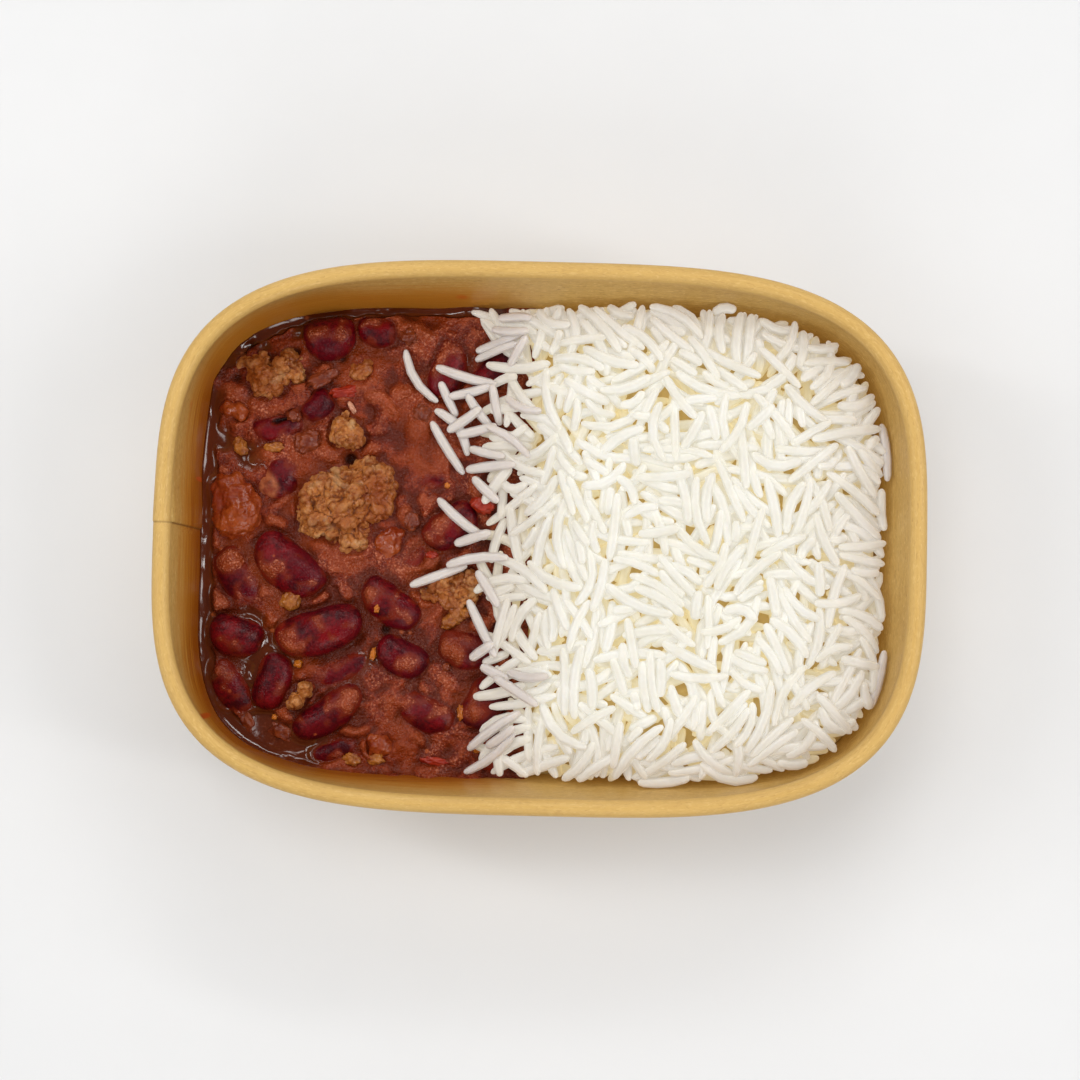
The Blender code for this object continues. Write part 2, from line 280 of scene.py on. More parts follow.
def times(tree, first, *others, clamp=False):
    for other in others:
        first = math2(tree, "MULTIPLY", first, other, clamp)
    return first


def plus(tree, first, second, clamp=False):
    return math2(tree, "ADD", first, second, clamp)


def minus(tree, first, second):
    return math2(tree, "SUBTRACT", first, second)


def noiseAt(tree, place, scale, detail, **more):
    keys = {"Vector": place, "Scale": scale, "Detail": detail, **more}
    return addNode(tree, "ShaderNodeTexNoise", keys).outputs["Fac"]


# round specks, where a cell's own chance lies above the given range
def specksAt(tree, place, scale, inner, outer, rare, common):
    cells = addNode(tree, "ShaderNodeTexVoronoi", {"Vector": place, "Scale": scale}).outputs
    near = between(tree, cells["Distance"], inner, outer, 1.0, 0.0)
    return times(tree, near, between(tree, cells["Color"], rare, common))


def mixColours(tree, share, first, second, blend="MIX"):
    keys = {0: share, 6: first, 7: second}
    return addNode(tree, "ShaderNodeMix", keys, data_type="RGBA", blend_type=blend, clamp_factor=True).outputs[2]


def between(tree, value, low, high, toLow=0.0, toHigh=1.0):
    keys = {"Value": value, "From Min": low, "From Max": high, "To Min": toLow, "To Max": toHigh}
    return addNode(tree, "ShaderNodeMapRange", keys, interpolation_type="SMOOTHSTEP").outputs[0]


# a colour turned towards a tint where a value goes from low to high
def tinted(tree, colour, value, low, high, share, tint):
    return mixColours(tree, between(tree, value, low, high, 0.0, share), colour, tint)


def readNumbers(tree, name):
    return addNode(tree, "ShaderNodeAttribute", attribute_name=name).outputs["Fac"]


def objectPlace(tree):
    return addNode(tree, "ShaderNodeTexCoord").outputs["Object"]


def startMaterial(name, viewColour, **constants):
    made = bpy.data.materials.new(name)
    made.use_nodes = True
    made.diffuse_color = viewColour
    shader = made.node_tree.nodes["Principled BSDF"]
    for word, value in constants.items():
        socketFor(shader, word).default_value = value
    return made, made.node_tree, shader


# Shader groups that several finishes share.


# two colours mixed in soft patches, with finer flecks over them
def makeMottle():
    inputs = (
        ("Place", "Vector", None),
        ("Light Colour", "Color", (1, 1, 1, 1)),
        ("Dark Colour", "Color", (0, 0, 0, 1)),
        ("Patch Scale", "Float", 100.0),
        ("Fleck Scale", "Float", 900.0),
        ("Fleck Share", "Float", 0.3),
        ("Contrast", "Float", 1.0),
    )
    tree, given, out = startGroup("Mottle", inputs, (("Colour", "Color"), ("Mask", "Float")))
    patches = noiseAt(tree, given["Place"], given["Patch Scale"], 3.0)
    flecks = noiseAt(tree, given["Place"], given["Fleck Scale"], 2.0)
    fleckPart = times(tree, minus(tree, flecks, 0.5), given["Fleck Share"])
    total = plus(tree, minus(tree, patches, 0.5), fleckPart)
    mask = plus(tree, times(tree, total, times(tree, given["Contrast"], 4.0)), 0.5, clamp=True)
    tree.links.new(mixColours(tree, mask, given["Dark Colour"], given["Light Colour"]), out["Colour"])
    tree.links.new(mask, out["Mask"])
    return tree


# fine relief in two sizes, for the height of a bump
def makeFineRelief():
    inputs = (
        ("Place", "Vector", None),
        ("Coarse Scale", "Float", 400.0),
        ("Fine Scale", "Float", 2500.0),
        ("Fine Share", "Float", 0.5),
    )
    tree, given, out = startGroup("Fine Relief", inputs, (("Height", "Float"),))
    coarse = noiseAt(tree, given["Place"], given["Coarse Scale"], 2.0)
    fine = noiseAt(tree, given["Place"], given["Fine Scale"], 1.0)
    tree.links.new(plus(tree, coarse, times(tree, fine, given["Fine Share"])), out["Height"])
    return tree


# where a wet surface is glossy and where it has dulled, as roughness
def makeWetness():
    inputs = (
        ("Place", "Vector", None),
        ("Patch Scale", "Float", 250.0),
        ("Wet Roughness", "Float", 0.15),
        ("Dull Roughness", "Float", 0.5),
        ("Wetness", "Float", 0.0),
    )
    tree, given, out = startGroup("Wetness", inputs, (("Roughness", "Float"), ("Wet Mask", "Float")))
    patches = noiseAt(tree, given["Place"], given["Patch Scale"], 2.0)
    wet = plus(tree, between(tree, patches, 0.35, 0.65), given["Wetness"], clamp=True)
    spread = minus(tree, given["Wet Roughness"], given["Dull Roughness"])
    tree.links.new(plus(tree, given["Dull Roughness"], times(tree, wet, spread)), out["Roughness"])
    tree.links.new(wet, out["Wet Mask"])
    return tree


mottle, fineRelief, wetness = makeMottle(), makeFineRelief(), makeWetness()


# the colour in soft patches that most finishes start from
def mottled(tree, place, light, dark, patchScale, fleckScale, fleckShare, contrast):
    return placeGroup(
        tree, mottle, place=place, lightColour=light, darkColour=dark,
        patchScale=patchScale, fleckScale=fleckScale, fleckShare=fleckShare, contrast=contrast,
    )["Colour"]


# the wetness group's roughness and mask: size of the patches, glossy and dull roughness
def glossOf(tree, place, patchScale, glossy, dull, wetter=0.0):
    outputs = placeGroup(
        tree, wetness, place=place, patchScale=patchScale, wetRoughness=glossy, dullRoughness=dull, wetness=wetter,
    )
    return outputs["Roughness"], outputs["Wet Mask"]


def reliefOf(tree, place, coarseScale, fineScale, fineShare):
    sizes = {"coarseScale": coarseScale, "fineScale": fineScale, "fineShare": fineShare}
    return placeGroup(tree, fineRelief, place=place, **sizes)["Height"]


# drives a shader: colour, roughness, relief with its strength and distance, and what else is given
def driveShader(tree, shader, colour, roughness, height, strength, distance, **more):
    bump = addNode(tree, "ShaderNodeBump", {"Height": height, "Strength": strength, "Distance": distance * mm})
    for source, word in ((colour, "baseColor"), (roughness, "roughness"), (bump.outputs["Normal"], "normal")):
        tree.links.new(source, socketFor(shader, word))
    for word, source in more.items():
        tree.links.new(source, socketFor(shader, word))


# Camera, light and floor.

view = {
    "place": (0, -34.87, 553.84),
    "lookAt": (0, -0.87, 55),
    "roll": 0.024,
    "lens": 75.32,
}
lighting = {
    "worldColour": (1.0, 1.0, 1.0, 1),
    "worldStrength": 0.33,
    "mirroredShare": 0.15,  # of the world's light in reflections
    "backdropStrength": 0.885,  # what the camera sees behind the floor
    "floorColour": shade(226, 226, 226),
    "floorDark": shade(224, 224, 224),
    "floorReach": 4000,
    # name, place, aimed at, width, depth, power, whether it lights and whether it is mirrored
    "lamps": (
        ("leftSoftbox", (-640, 40, 700), (0, 0, 30), 480, 480, 1.52, True, False),
        ("rightSoftbox", (640, 0, 700), (0, 0, 30), 480, 480, 1.52, True, False),
        ("farSoftbox", (0, 660, 700), (0, 0, 30), 480, 480, 1.52, True, False),
        ("nearSoftbox", (0, -700, 620), (0, 0, 30), 480, 480, 1.9, True, False),
        ("keySoftbox", (-130, 130, 820), (0, 0, 30), 240, 240, 1.1, True, False),
        ("highGlint", (-150, 150, 800), (0, 0, 30), 130, 130, 0.2, False, True),
        ("leftGlint", (-500, -150, 400), (-30, 0, 30), 230, 230, 0.66, False, True),
        ("rightGlint", (440, 150, 400), (-30, 0, 30), 230, 230, 0.9, False, True),
        ("farGlint", (-180, 520, 400), (-30, 0, 30), 230, 230, 0.66, False, True),
        ("nearGlint", (120, -520, 400), (-30, 0, 30), 230, 230, 0.66, False, True),
        ("leftStrip", (-520, 160, 620), (0, 0, 30), 60, 420, 0.8, True, True),
        ("farStrip", (160, 520, 640), (0, 0, 30), 420, 60, 0.8, True, True),
        ("rightStrip", (500, -140, 560), (0, 0, 30), 60, 420, 0.8, True, True),
    ),
}


def makeCamera():
    lens = bpy.data.cameras.new("mainCamera")
    lens.lens = view["lens"]
    lens.sensor_width = 36
    lens.clip_start, lens.clip_end = 0.01, 20
    camera = addObject("mainCamera", lens)
    place, aim = Vector(view["place"]) * mm, Vector(view["lookAt"]) * mm
    turn = (aim - place).to_track_quat("-Z", "Y") @ Quaternion((0, 0, 1), view["roll"])
    camera.matrix_world = Matrix.Translation(place) @ turn.to_matrix().to_4x4()
    scene.camera = camera


def makeLamps():
    world = bpy.data.worlds.new("studio")
    world.use_nodes = True
    background = world.node_tree.nodes["Background"]
    background.inputs["Color"].default_value = lighting["worldColour"]
    tree = world.node_tree
    rays = addNode(tree, "ShaderNodeLightPath").outputs
    seen = between(tree, rays["Is Camera Ray"], 0.0, 1.0, lighting["worldStrength"], lighting["backdropStrength"])
    share = between(tree, rays["Is Glossy Ray"], 0.0, 1.0, 1.0, lighting["mirroredShare"])
    tree.links.new(times(tree, seen, share), background.inputs["Strength"])
    scene.world = world
    for name, place, aim, width, depth, power, lights, mirrored in lighting["lamps"]:
        light = bpy.data.lights.new(name, "AREA")
        light.shape = "RECTANGLE"
        light.size, light.size_y = width * mm, depth * mm
        light.energy = power
        lamp = addObject(name, light)
        lamp.visible_diffuse, lamp.visible_glossy = lights, mirrored
        direction = Vector(aim) - Vector(place)
        turn = direction.to_track_quat("-Z", "Y")
        lamp.matrix_world = Matrix.Translation(Vector(place) * mm) @ turn.to_matrix().to_4x4()


def makeFloor():
    paint, tree, shader = startMaterial("palePaper", lighting["floorColour"], roughness=0.9)
    colour = mottled(tree, objectPlace(tree), lighting["floorColour"], lighting["floorDark"], 3.0, 60.0, 0.3, 1.0)
    tree.links.new(colour, shader.inputs["Base Color"])
    reach = lighting["floorReach"]
    corners = [(x * reach, y * reach, 0) for x, y in ((-1, -1), (1, -1), (1, 1), (-1, 1))]
    floor = addPiece("studio_floor", corners, [(0, 1, 2, 3)], paint)


scene.view_settings.view_transform = "Standard"
makeCamera()
makeLamps()
makeFloor()
print("camera, lamps and floor made")


# The kraft tub.

tub = {
    "rimPower": 3.57,  # of the superellipse at the rim
    "footPower": 4.9,
    "flarePower": 5,  # the higher, the nearer to the rim the outline changes
    "board": 0.5,
    "bead": 2.0,  # outside radius of the rolled rim
    "beadEnd": -130,  # degrees, where the roll stops
    "slope": 0.19,
    "footHeight": 5.5,
    "footThickness": 1.5,
    "outlineSteps": 300,
    "seamY": 1.2,  # where the blank's end shows on the left side
    "seamLap": 11.0,
    "seamStep": 0.3,
}
splashSpots = ((-74.6, -41.6, 0.9), (-78.6, 12.6, 0.7))  # x, y and radius
tubLow, tubHigh = (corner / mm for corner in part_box("tub_wall"))
rimHalf = ((tubHigh.x - tubLow.x) / 2, (tubHigh.y - tubLow.y) / 2)
beadZ = tubHigh.z - tub["bead"]


# half sizes of the wall's inner outline at a height
def innerHalf(z):
    inset = 2 * tub["bead"] + tub["slope"] * (beadZ - z)
    return rimHalf[0] - inset, rimHalf[1] - inset


def outlinePower(z):
    share = (np.clip(z, 0, beadZ) / beadZ) ** tub["flarePower"]
    return tub["footPower"] + (tub["rimPower"] - tub["footPower"]) * share


def outlineAt(z, angle):
    halfX, halfY = innerHalf(z)
    power = outlinePower(z)
    radius = (np.abs(np.cos(angle) / halfX) ** power + np.abs(np.sin(angle) / halfY) ** power) ** (-1 / power)
    return np.column_stack((radius * np.cos(angle), radius * np.sin(angle)))


# 0 in the middle of the tub and 1 at the inner face of its wall
def reachAt(x, y, z):
    halfX, halfY = innerHalf(z)
    power = outlinePower(z)
    return (np.abs(x / halfX) ** power + np.abs(y / halfY) ** power) ** (1 / power)


def outlineAngles():
    fine = np.linspace(-math.pi, math.pi, 8001)
    points = outlineAt(beadZ, fine)
    travelled = np.concatenate(([0], np.cumsum(np.linalg.norm(np.diff(points, axis=0), axis=1))))
    seam = math.pi - math.atan2(tub["seamY"], rimHalf[0] - 4)
    start = np.interp(seam, fine, travelled)
    even = start + np.arange(tub["outlineSteps"]) / tub["outlineSteps"] * travelled[-1]
    even = np.concatenate((even, [start - 0.35, start + 0.35]))  # rings close to the seam keep its step crisp
    even = np.sort(even % travelled[-1])
    return np.interp(even, travelled, fine), even, start


tubAngles, tubTravel, seamTravel = outlineAngles()


def tubRing(z, outwards):
    points = outlineAt(min(z, beadZ), tubAngles)
    ahead = outlineAt(min(z, beadZ), tubAngles + 1e-3)
    behind = outlineAt(min(z, beadZ), tubAngles - 1e-3)
    tangent = ahead - behind
    tangent /= np.linalg.norm(tangent, axis=1)[:, None]
    return points + np.column_stack((tangent[:, 1], -tangent[:, 0])) * np.asarray(outwards)[..., None]


# 1 on the lapped end of the blank, next to the seam, fading along the lap
def lapShare():
    before = (seamTravel - tubTravel) % tubTravel[-1]
    behind = np.where(before < 1e-6, 1e9, before)
    return smoothStep(tub["seamLap"], 0.3, behind)


def makeKraft():
    board, tree, shader = startMaterial("kraftBoard", shade(200, 160, 100), specularIorLevel=0.22)
    lay = addNode(tree, "ShaderNodeUVMap", uv_map="lay").outputs["UV"]
    place = objectPlace(tree)
    axes = addNode(tree, "ShaderNodeSeparateXYZ", {"Vector": place}).outputs
    # streaks and fibres run round the tub
    streakPlace = addNode(tree, "ShaderNodeMapping", {"Vector": lay, "Scale": (0.035, 1.5, 1.0)}).outputs[0]
    streaks = noiseAt(tree, streakPlace, 1.0, 4.0, Roughness=0.65)
    fibrePlace = addNode(tree, "ShaderNodeMapping", {"Vector": lay, "Scale": (0.5, 3.2, 1.0)}).outputs[0]
    fibres = noiseAt(tree, fibrePlace, 1.0, 3.0, Distortion=1.2)
    tone = mottled(tree, place, shade(206, 166, 94), shade(188, 146, 74), 38.0, 700.0, 0.5, 0.55)
    colour = tinted(tree, tone, streaks, 0.35, 0.68, 0.45, shade(216, 179, 108))
    colour = tinted(tree, colour, fibres, 0.52, 0.68, 0.6, shade(160, 116, 58))
    fleckPlace = addNode(tree, "ShaderNodeMapping", {"Vector": lay, "Scale": (0.7, 2.4, 1.0)}).outputs[0]
    flecks = noiseAt(tree, fleckPlace, 1.0, 1.0, Distortion=0.6)
    colour = tinted(tree, colour, flecks, 0.56, 0.7, 0.55, shade(226, 194, 128))
    # the top of the rolled rim is lighter: a painted highlight
    rim = between(tree, readNumbers(tree, "rim"), 0.0, 1.0, 0.0, 0.5)
    colour = mixColours(tree, rim, colour, shade(206, 168, 100))
    # sauce has soaked into the wall near its level, on the chili's side
    stainNoise = noiseAt(tree, streakPlace, 1.4, 3.0)
    level = plus(tree, axes["Z"], times(tree, minus(tree, stainNoise, 0.5), 0.02))
    soaked = between(tree, level, 0.0405, 0.0535, 1.0, 0.0)
    chiliSide = between(tree, axes["X"], -0.022, 0.004, 1.0, 0.0)
    inside = readNumbers(tree, "inside")
    stain = times(tree, soaked, chiliSide, inside)
    colour = mixColours(tree, times(tree, stain, 0.95), colour, shade(186, 120, 34))
    deeper = between(tree, level, 0.0345, 0.0455, 1.0, 0.0)
    deepShare = between(tree, axes["Y"], 0.030, 0.044, 0.88, 0.24)
    colour = mixColours(tree, times(tree, deeper, chiliSide, inside, deepShare), colour, shade(140, 64, 0))
    # small splashes above it
    splash = times(tree, specksAt(tree, place, 105.0, 0.05, 0.22, 0.72, 0.8), chiliSide, inside, 0.75)
    colour = mixColours(tree, splash, colour, shade(190, 92, 24))
    for spotX, spotY, radius in splashSpots:
        flat = addNode(tree, "ShaderNodeCombineXYZ", {"X": axes["X"], "Y": axes["Y"]}).outputs[0]
        ends = {0: flat, 1: (spotX * mm, spotY * mm, 0)}
        away = addNode(tree, "ShaderNodeVectorMath", ends, operation="DISTANCE").outputs["Value"]
        spot = times(tree, between(tree, away, radius * mm, radius * 0.5 * mm, 0.0, 0.85), inside)
        colour = mixColours(tree, spot, colour, shade(186, 74, 18))
    # a painted shadow line darkens the lapped seam along its step
    colour = mixColours(tree, times(tree, readNumbers(tree, "seam"), 0.8), colour, shade(96, 62, 26))
    rough, _ = glossOf(tree, place, 60.0, 0.34, 0.52, times(tree, stain, 0.8))
    relief = reliefOf(tree, place, 260.0, 1500.0, 0.4)
    height = plus(tree, times(tree, streaks, 1.2), plus(tree, relief, fibres))
    driveShader(tree, shader, colour, rough, height, 0.35, 0.12)
    return board


def setLay(mesh, uv):
    mesh.uv_layers.new(name="lay").data.foreach_set("uv", np.array(uv, np.float32).ravel())
    mesh.set_sharp_from_angle(angle=math.radians(50))


# the wall as one skin: up its outer face, round the rolled rim, down inside, round the folded foot
def makeTubWall(board):
    outer, bead = tub["board"], tub["bead"]
    end = math.radians(tub["beadEnd"])
    path = [(outer, z, 0) for z in (0.12, 3, 5.5, 12, 20, 28, 33, 37, 41, 44, 47, 49.5, 51.3, 52.3)]

    def roll(radius, part, turns):
        return [(bead + radius * math.cos(a), beadZ + radius * math.sin(a), part) for a in turns]

    path += roll(bead - outer, 1, np.linspace(math.pi, end, 16))
    path += roll(bead - outer / 2, 1, [end - 0.14])
    path += roll(bead, 2, np.linspace(end, math.pi, 26))
    path += [(0, z, 3) for z in (52.3, 51.3, 49.5, 47, 44.5, 42, 39.5, 37, 35, 33, 28, 20, 12)]
    foot, fold = outer - tub["footThickness"], tub["footHeight"]
    path += [(0, fold + 0.7, 3), (0, fold + 0.1, 3)]
    path += [(-0.12, fold - 0.02, 4), (foot + 0.1, fold - 0.05, 4), (foot, fold - 0.15, 4)]
    path += [(foot, 2.5, 4), (foot, 0.12, 4), (foot + 0.12, 0, 4), (outer - 0.12, 0, 4)]
    lap = lapShare()
    count = len(tubAngles)
    near = np.minimum(np.abs(tubTravel - seamTravel), tubTravel[-1] - np.abs(tubTravel - seamTravel)) < 0.1
    points, rim, inside, seam = [], [], [], []
    for offset, z, part in path:
        push = {2: 0.55, 3: -1}.get(part, 0) * tub["seamStep"] * lap
        spots = tubRing(z, offset + push)
        lift = 0.5 * tub["seamStep"] * lap if part == 2 and z > beadZ else 0
        points.append(np.column_stack((spots, np.full(count, z) - 0.3 * lift)))
        # the top of the roll is marked for the painted highlight
        rim.append(np.full(count, 1.0 if part == 2 and z > beadZ - 0.6 else 0.0))
        inside.append(np.full(count, 1.0 if part == 3 else 0.0))
        # the seam column is marked for the painted shadow line along the lap's step
        seam.append(np.where(near, {2: 0.6, 3: 1.0}.get(part, 0.25), 0.0))
    rings = len(path)
    wall = addPiece("kraft_tub_wall", np.concatenate(points), ringFaces(rings, count, closed=True), board)
    mesh = wall.data
    for name, values in (("rim", rim), ("inside", inside), ("seam", seam)):
        setNumbers(mesh, name, np.concatenate(values))
    # the lay of the board: travel round the tub and along the section
    lengths = [0.0]
    for (o1, z1, _), (o2, z2, _) in zip(path, path[1:] + path[:1]):
        lengths.append(lengths[-1] + math.hypot(o2 - o1, z2 - z1))
    travel = np.append(tubTravel, tubTravel[0] + 2 * math.pi * 72)
    uv = []
    for v1, v2 in zip(lengths, lengths[1:]):
        for u1, u2 in zip(travel, travel[1:]):
            uv += [(u1, v1), (u2, v1), (u2, v2), (u1, v2)]
    setLay(mesh, uv)
    return wall


# the panel that rests on the folded foot, flat with a slightly rounded edge
def makeTubBase(board):
    low, high = (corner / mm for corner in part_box("tub_base"))
    count = len(tubAngles)
    edge = tubRing(low.z, np.full(count, -0.3))
    section = [(0.5, low.z), (0.97, low.z), (0.999, low.z + 0.02), (1, low.z + 0.1)]
    section += [(share, low.z + high.z - z) for share, z in reversed(section)]
    points = [np.column_stack((edge * share, np.full(count, z))) for share, z in section]
    faces = [tuple(reversed(range(count))), *ringFaces(len(points), count)]
    faces.append(tuple((len(points) - 1) * count + step for step in range(count)))
    base = addPiece("kraft_tub_base", np.concatenate(points), faces, board)
    mesh = base.data
    for name in ("rim", "inside", "seam"):
        setNumbers(mesh, name, np.zeros(len(mesh.vertices)))
    loops = np.empty(len(mesh.loops), int)
    mesh.loops.foreach_get("vertex_index", loops)
    setLay(mesh, getPoints(mesh)[loops][:, :2])
    return base


kraft = makeKraft()
tubWall, tubBase = makeTubWall(kraft), makeTubBase(kraft)
print("tub made:", len(tubWall.data.polygons), "faces in the wall")


# Kidney beans.

beanShape = {
    "bend": 0.1,
    "bluntness": 2.5,
    "hilum": 0.12,  # depth of the dent where the bean was joined to its pod
    "unevenness": 0.22,
    "steps": (34, 36),
}
# where sauce lies over beans: x, y, radius and thickness
filmSpots = (
    (-63.6, -9.2, 3.0, 1.0), (-71.5, -5.0, 3.8, 1.1), (-67.7, -3.0, 2.6, 0.9), (-57.6, -23.9, 3.0, 1.0),
    (-55.2, -27.3, 2.1, 0.7), (-39.6, -13.6, 2.6, 1.0), (-36.4, -12.4, 2.1, 0.6), (-42.5, -37.3, 3.0, 0.9),
    (-39.9, -34.9, 2.1, 0.9), (-72.1, -29.5, 2.6, 0.9), (-74.3, -32.5, 1.7, 0.8), (-31.6, -36.3, 2.1, 0.9),
    (-24.3, -35.7, 2.6, 0.7), (-20.1, -38.6, 2.1, 0.8), (-29.8, -42.7, 1.7, 0.6), (-14.5, -35.5, 1.9, 0.9),
    (-15.0, -40.0, 1.7, 0.9), (-18.0, -23.0, 4.3, 0.8), (-21.1, -26.5, 2.6, 0.9), (-25.7, -0.2, 3.0, 0.9),
    (-23.1, 4.5, 3.0, 0.8), (-29.8, -2.6, 2.1, 0.8), (-21.5, 46.7, 3.4, 0.8), (-24.1, 41.5, 2.1, 0.8),
    (-24.8, 18.3, 3.4, 0.9), (-20.6, 16.5, 2.1, 0.8), (-28.5, 15.9, 1.7, 0.8), (-38.7, 51.0, 2.6, 0.5),
    (-46.3, 49.8, 1.7, 0.4), (-62.1, -18.3, 2.1, 0.5), (-48.0, -37.4, 1.7, 0.3),
)
coatLevel = 33.3  # sauce clings to the beans near this height
# where a bean is torn open: x, y, half length, half width, turn in degrees and depth
tornSpots = ((-60.8, 27.0, 2.2, 0.8, 18, 1.6),)
# where a bean's skin has peeled or paled
peelSpots = ((-64.0, 12.7, 2.6, 1.0), (-62.4, 10.5, 2.1, 1.0), (-65.1, 15.9, 1.5, 0.8), (-65.5, 27.8, 1.3, 0.5))


def makeBeanSkin():
    skin, tree, shader = startMaterial(
        "kidneyBeanSkin", shade(96, 24, 36), subsurfaceWeight=0.0, subsurfaceScale=0.6 * mm,
        coatRoughness=0.2, specularIorLevel=0.18,
    )
    place = objectPlace(tree)
    tone = mottled(tree, place, shade(112, 8, 16), shade(58, 2, 10), 190.0, 1300.0, 0.55, 0.8)
    purple = noiseAt(tree, place, 95.0, 2.0)
    colour = tinted(tree, tone, purple, 0.45, 0.62, 0.5, shade(60, 5, 18))
    coat = readNumbers(tree, "film")
    colour = tinted(tree, colour, coat, 0.1, 1.0, 0.8, shade(112, 34, 14))
    peel = readNumbers(tree, "peel")
    blotch = noiseAt(tree, place, 420.0, 3.0)
    peeled = times(tree, between(tree, peel, 0.2, 0.9), between(tree, blotch, 0.38, 0.62, 0.35, 0.95))
    colour = mixColours(tree, peeled, colour, shade(164, 92, 58))
    # the torn hole is painted nearly black: painted shade in the hollow
    colour = mixColours(tree, readNumbers(tree, "torn"), colour, shade(26, 4, 5))
    speck = times(tree, specksAt(tree, place, 420.0, 0.1, 0.24, 0.8, 0.86), 0.5)
    colour = mixColours(tree, speck, colour, shade(196, 96, 52))
    rough, wet = glossOf(tree, place, 330.0, 0.22, 0.38)
    relief = reliefOf(tree, place, 560.0, 2400.0, 0.8)
    driveShader(tree, shader, colour, rough, relief, 0.8, 0.26, coatWeight=times(tree, wet, 0.08))
    return skin


# middle, axes and sizes of a bean of the frame, from the corners of its solid
def beanFrame(node):
    flat = np.empty(len(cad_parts[node].data.vertices) * 3)
    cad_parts[node].data.vertices.foreach_get("co", flat)
    points = np.unique(np.round(flat.reshape(-1, 3) / mm, 2), axis=0)
    centre = points.mean(axis=0)
    values, vectors = np.linalg.eigh(np.cov((points - centre).T))
    lengthways = vectors[:, 2]
    along = (points - centre) @ lengthways
    middle = (points[along.argmax()] + points[along.argmin()]) / 2
    length = np.ptp(along)
    waist = points[np.abs((points - middle) @ lengthways) < 0.12 * length]
    inwards = middle - waist.mean(axis=0)
    inwards -= lengthways * (inwards @ lengthways)
    widthways = inwards / np.linalg.norm(inwards)
    upwards = np.cross(lengthways, widthways)
    if upwards[2] < 0:
        lengthways, upwards = -lengthways, -upwards
    width, thickness = np.ptp(waist @ widthways), np.ptp(waist @ upwards)
    return middle, (lengthways, widthways, upwards), (length, width, thickness)


def makeBean(node, seed, skin):
    middle, axes, (length, width, thickness) = beanFrame(node)
    alongSteps, roundSteps = beanShape["steps"]
    along = np.cos(np.linspace(0, math.pi, alongSteps + 1))[1:-1, None]
    turn = np.linspace(0, 2 * math.pi, roundSteps, endpoint=False)[None]
    blunt = beanShape["bluntness"]
    full = (1 - np.abs(along) ** blunt) ** (1 / blunt)
    x = along * length / 2 + 0 * turn
    y = full * np.cos(turn) * width / 2
    z = full * np.sin(turn) * thickness / 2
    y = y + beanShape["bend"] * width * (along**2 - 1)
    # the dent lies in the middle of the hollow side
    facing = np.clip(np.cos(turn), 0, 1) ** 3
    y = y - beanShape["hilum"] * facing * np.exp(-((x / 1.5) ** 2))
    points = np.stack((x, y, z), axis=-1).reshape(-1, 3)
    tip = length / 2
    points = np.concatenate(([(tip, 0, 0)], points, [(-tip, 0, 0)]))
    spots = middle + points @ np.array(axes)
    uneven = swell(spots[:, 0] + spots[:, 2], spots[:, 1] - spots[:, 2], 4.5, seed)
    outwards = points / np.maximum(np.linalg.norm(points, axis=1)[:, None], 1)
    spots += (outwards @ np.array(axes)) * (beanShape["unevenness"] * uneven)[:, None]
    # marks the torn hole, for the painted shade in it
    torn = np.zeros(len(spots))
    for tornX, tornY, halfLong, halfWide, turned, deep in tornSpots:
        offX, offY, tilt = spots[:, 0] - tornX, spots[:, 1] - tornY, math.radians(turned)
        lengthwise = (offX * math.cos(tilt) + offY * math.sin(tilt)) / halfLong
        crosswise = (offY * math.cos(tilt) - offX * math.sin(tilt)) / halfWide
        share = smoothStep(1.25, 0.6, np.hypot(lengthwise, crosswise)) * (spots[:, 2] > middle[2])
        spots[:, 2] -= deep * share
        torn = np.maximum(torn, smoothStep(0.3, 0.8, share))
    rings = alongSteps - 1
    faces = []
    for step in range(roundSteps):
        after = (step + 1) % roundSteps
        faces.append((0, 1 + step, 1 + after))
        for ring in range(rings - 1):
            first = 1 + ring * roundSteps
            faces.append((first + step, first + roundSteps + step, first + roundSteps + after, first + after))
        first = 1 + (rings - 1) * roundSteps
        faces.append((first + step, len(points) - 1, first + after))
    bean = addPiece("kidney_" + node, spots, faces, skin)
    film = bumps(spots[:, 0], spots[:, 1], filmSpots)
    emerged = (spots[:, 2] - coatLevel) / max(spots[:, 2].max() - coatLevel, 1)
    film += 0.8 * smoothStep(0.5, 0.05, emerged + 0.5 * swell(spots[:, 0], spots[:, 1], 2.8, seed + 3))
    film += 0.4 * smoothStep(0.25, 0.8, swell(spots[:, 0], spots[:, 1], 3.4, seed + 40))
    setNumbers(bean.data, "film", film)
    setNumbers(bean.data, "torn", torn)
    setNumbers(bean.data, "peel", bumps(spots[:, 0], spots[:, 1], peelSpots))
    return bean


beanSkin = makeBeanSkin()
beans = {}
for number in range(1, 28):
    node = f"bean_{number:02d}"
    beans[node] = makeBean(node, number, beanSkin)
print("beans made:", len(beans))


# Mince and tomato.

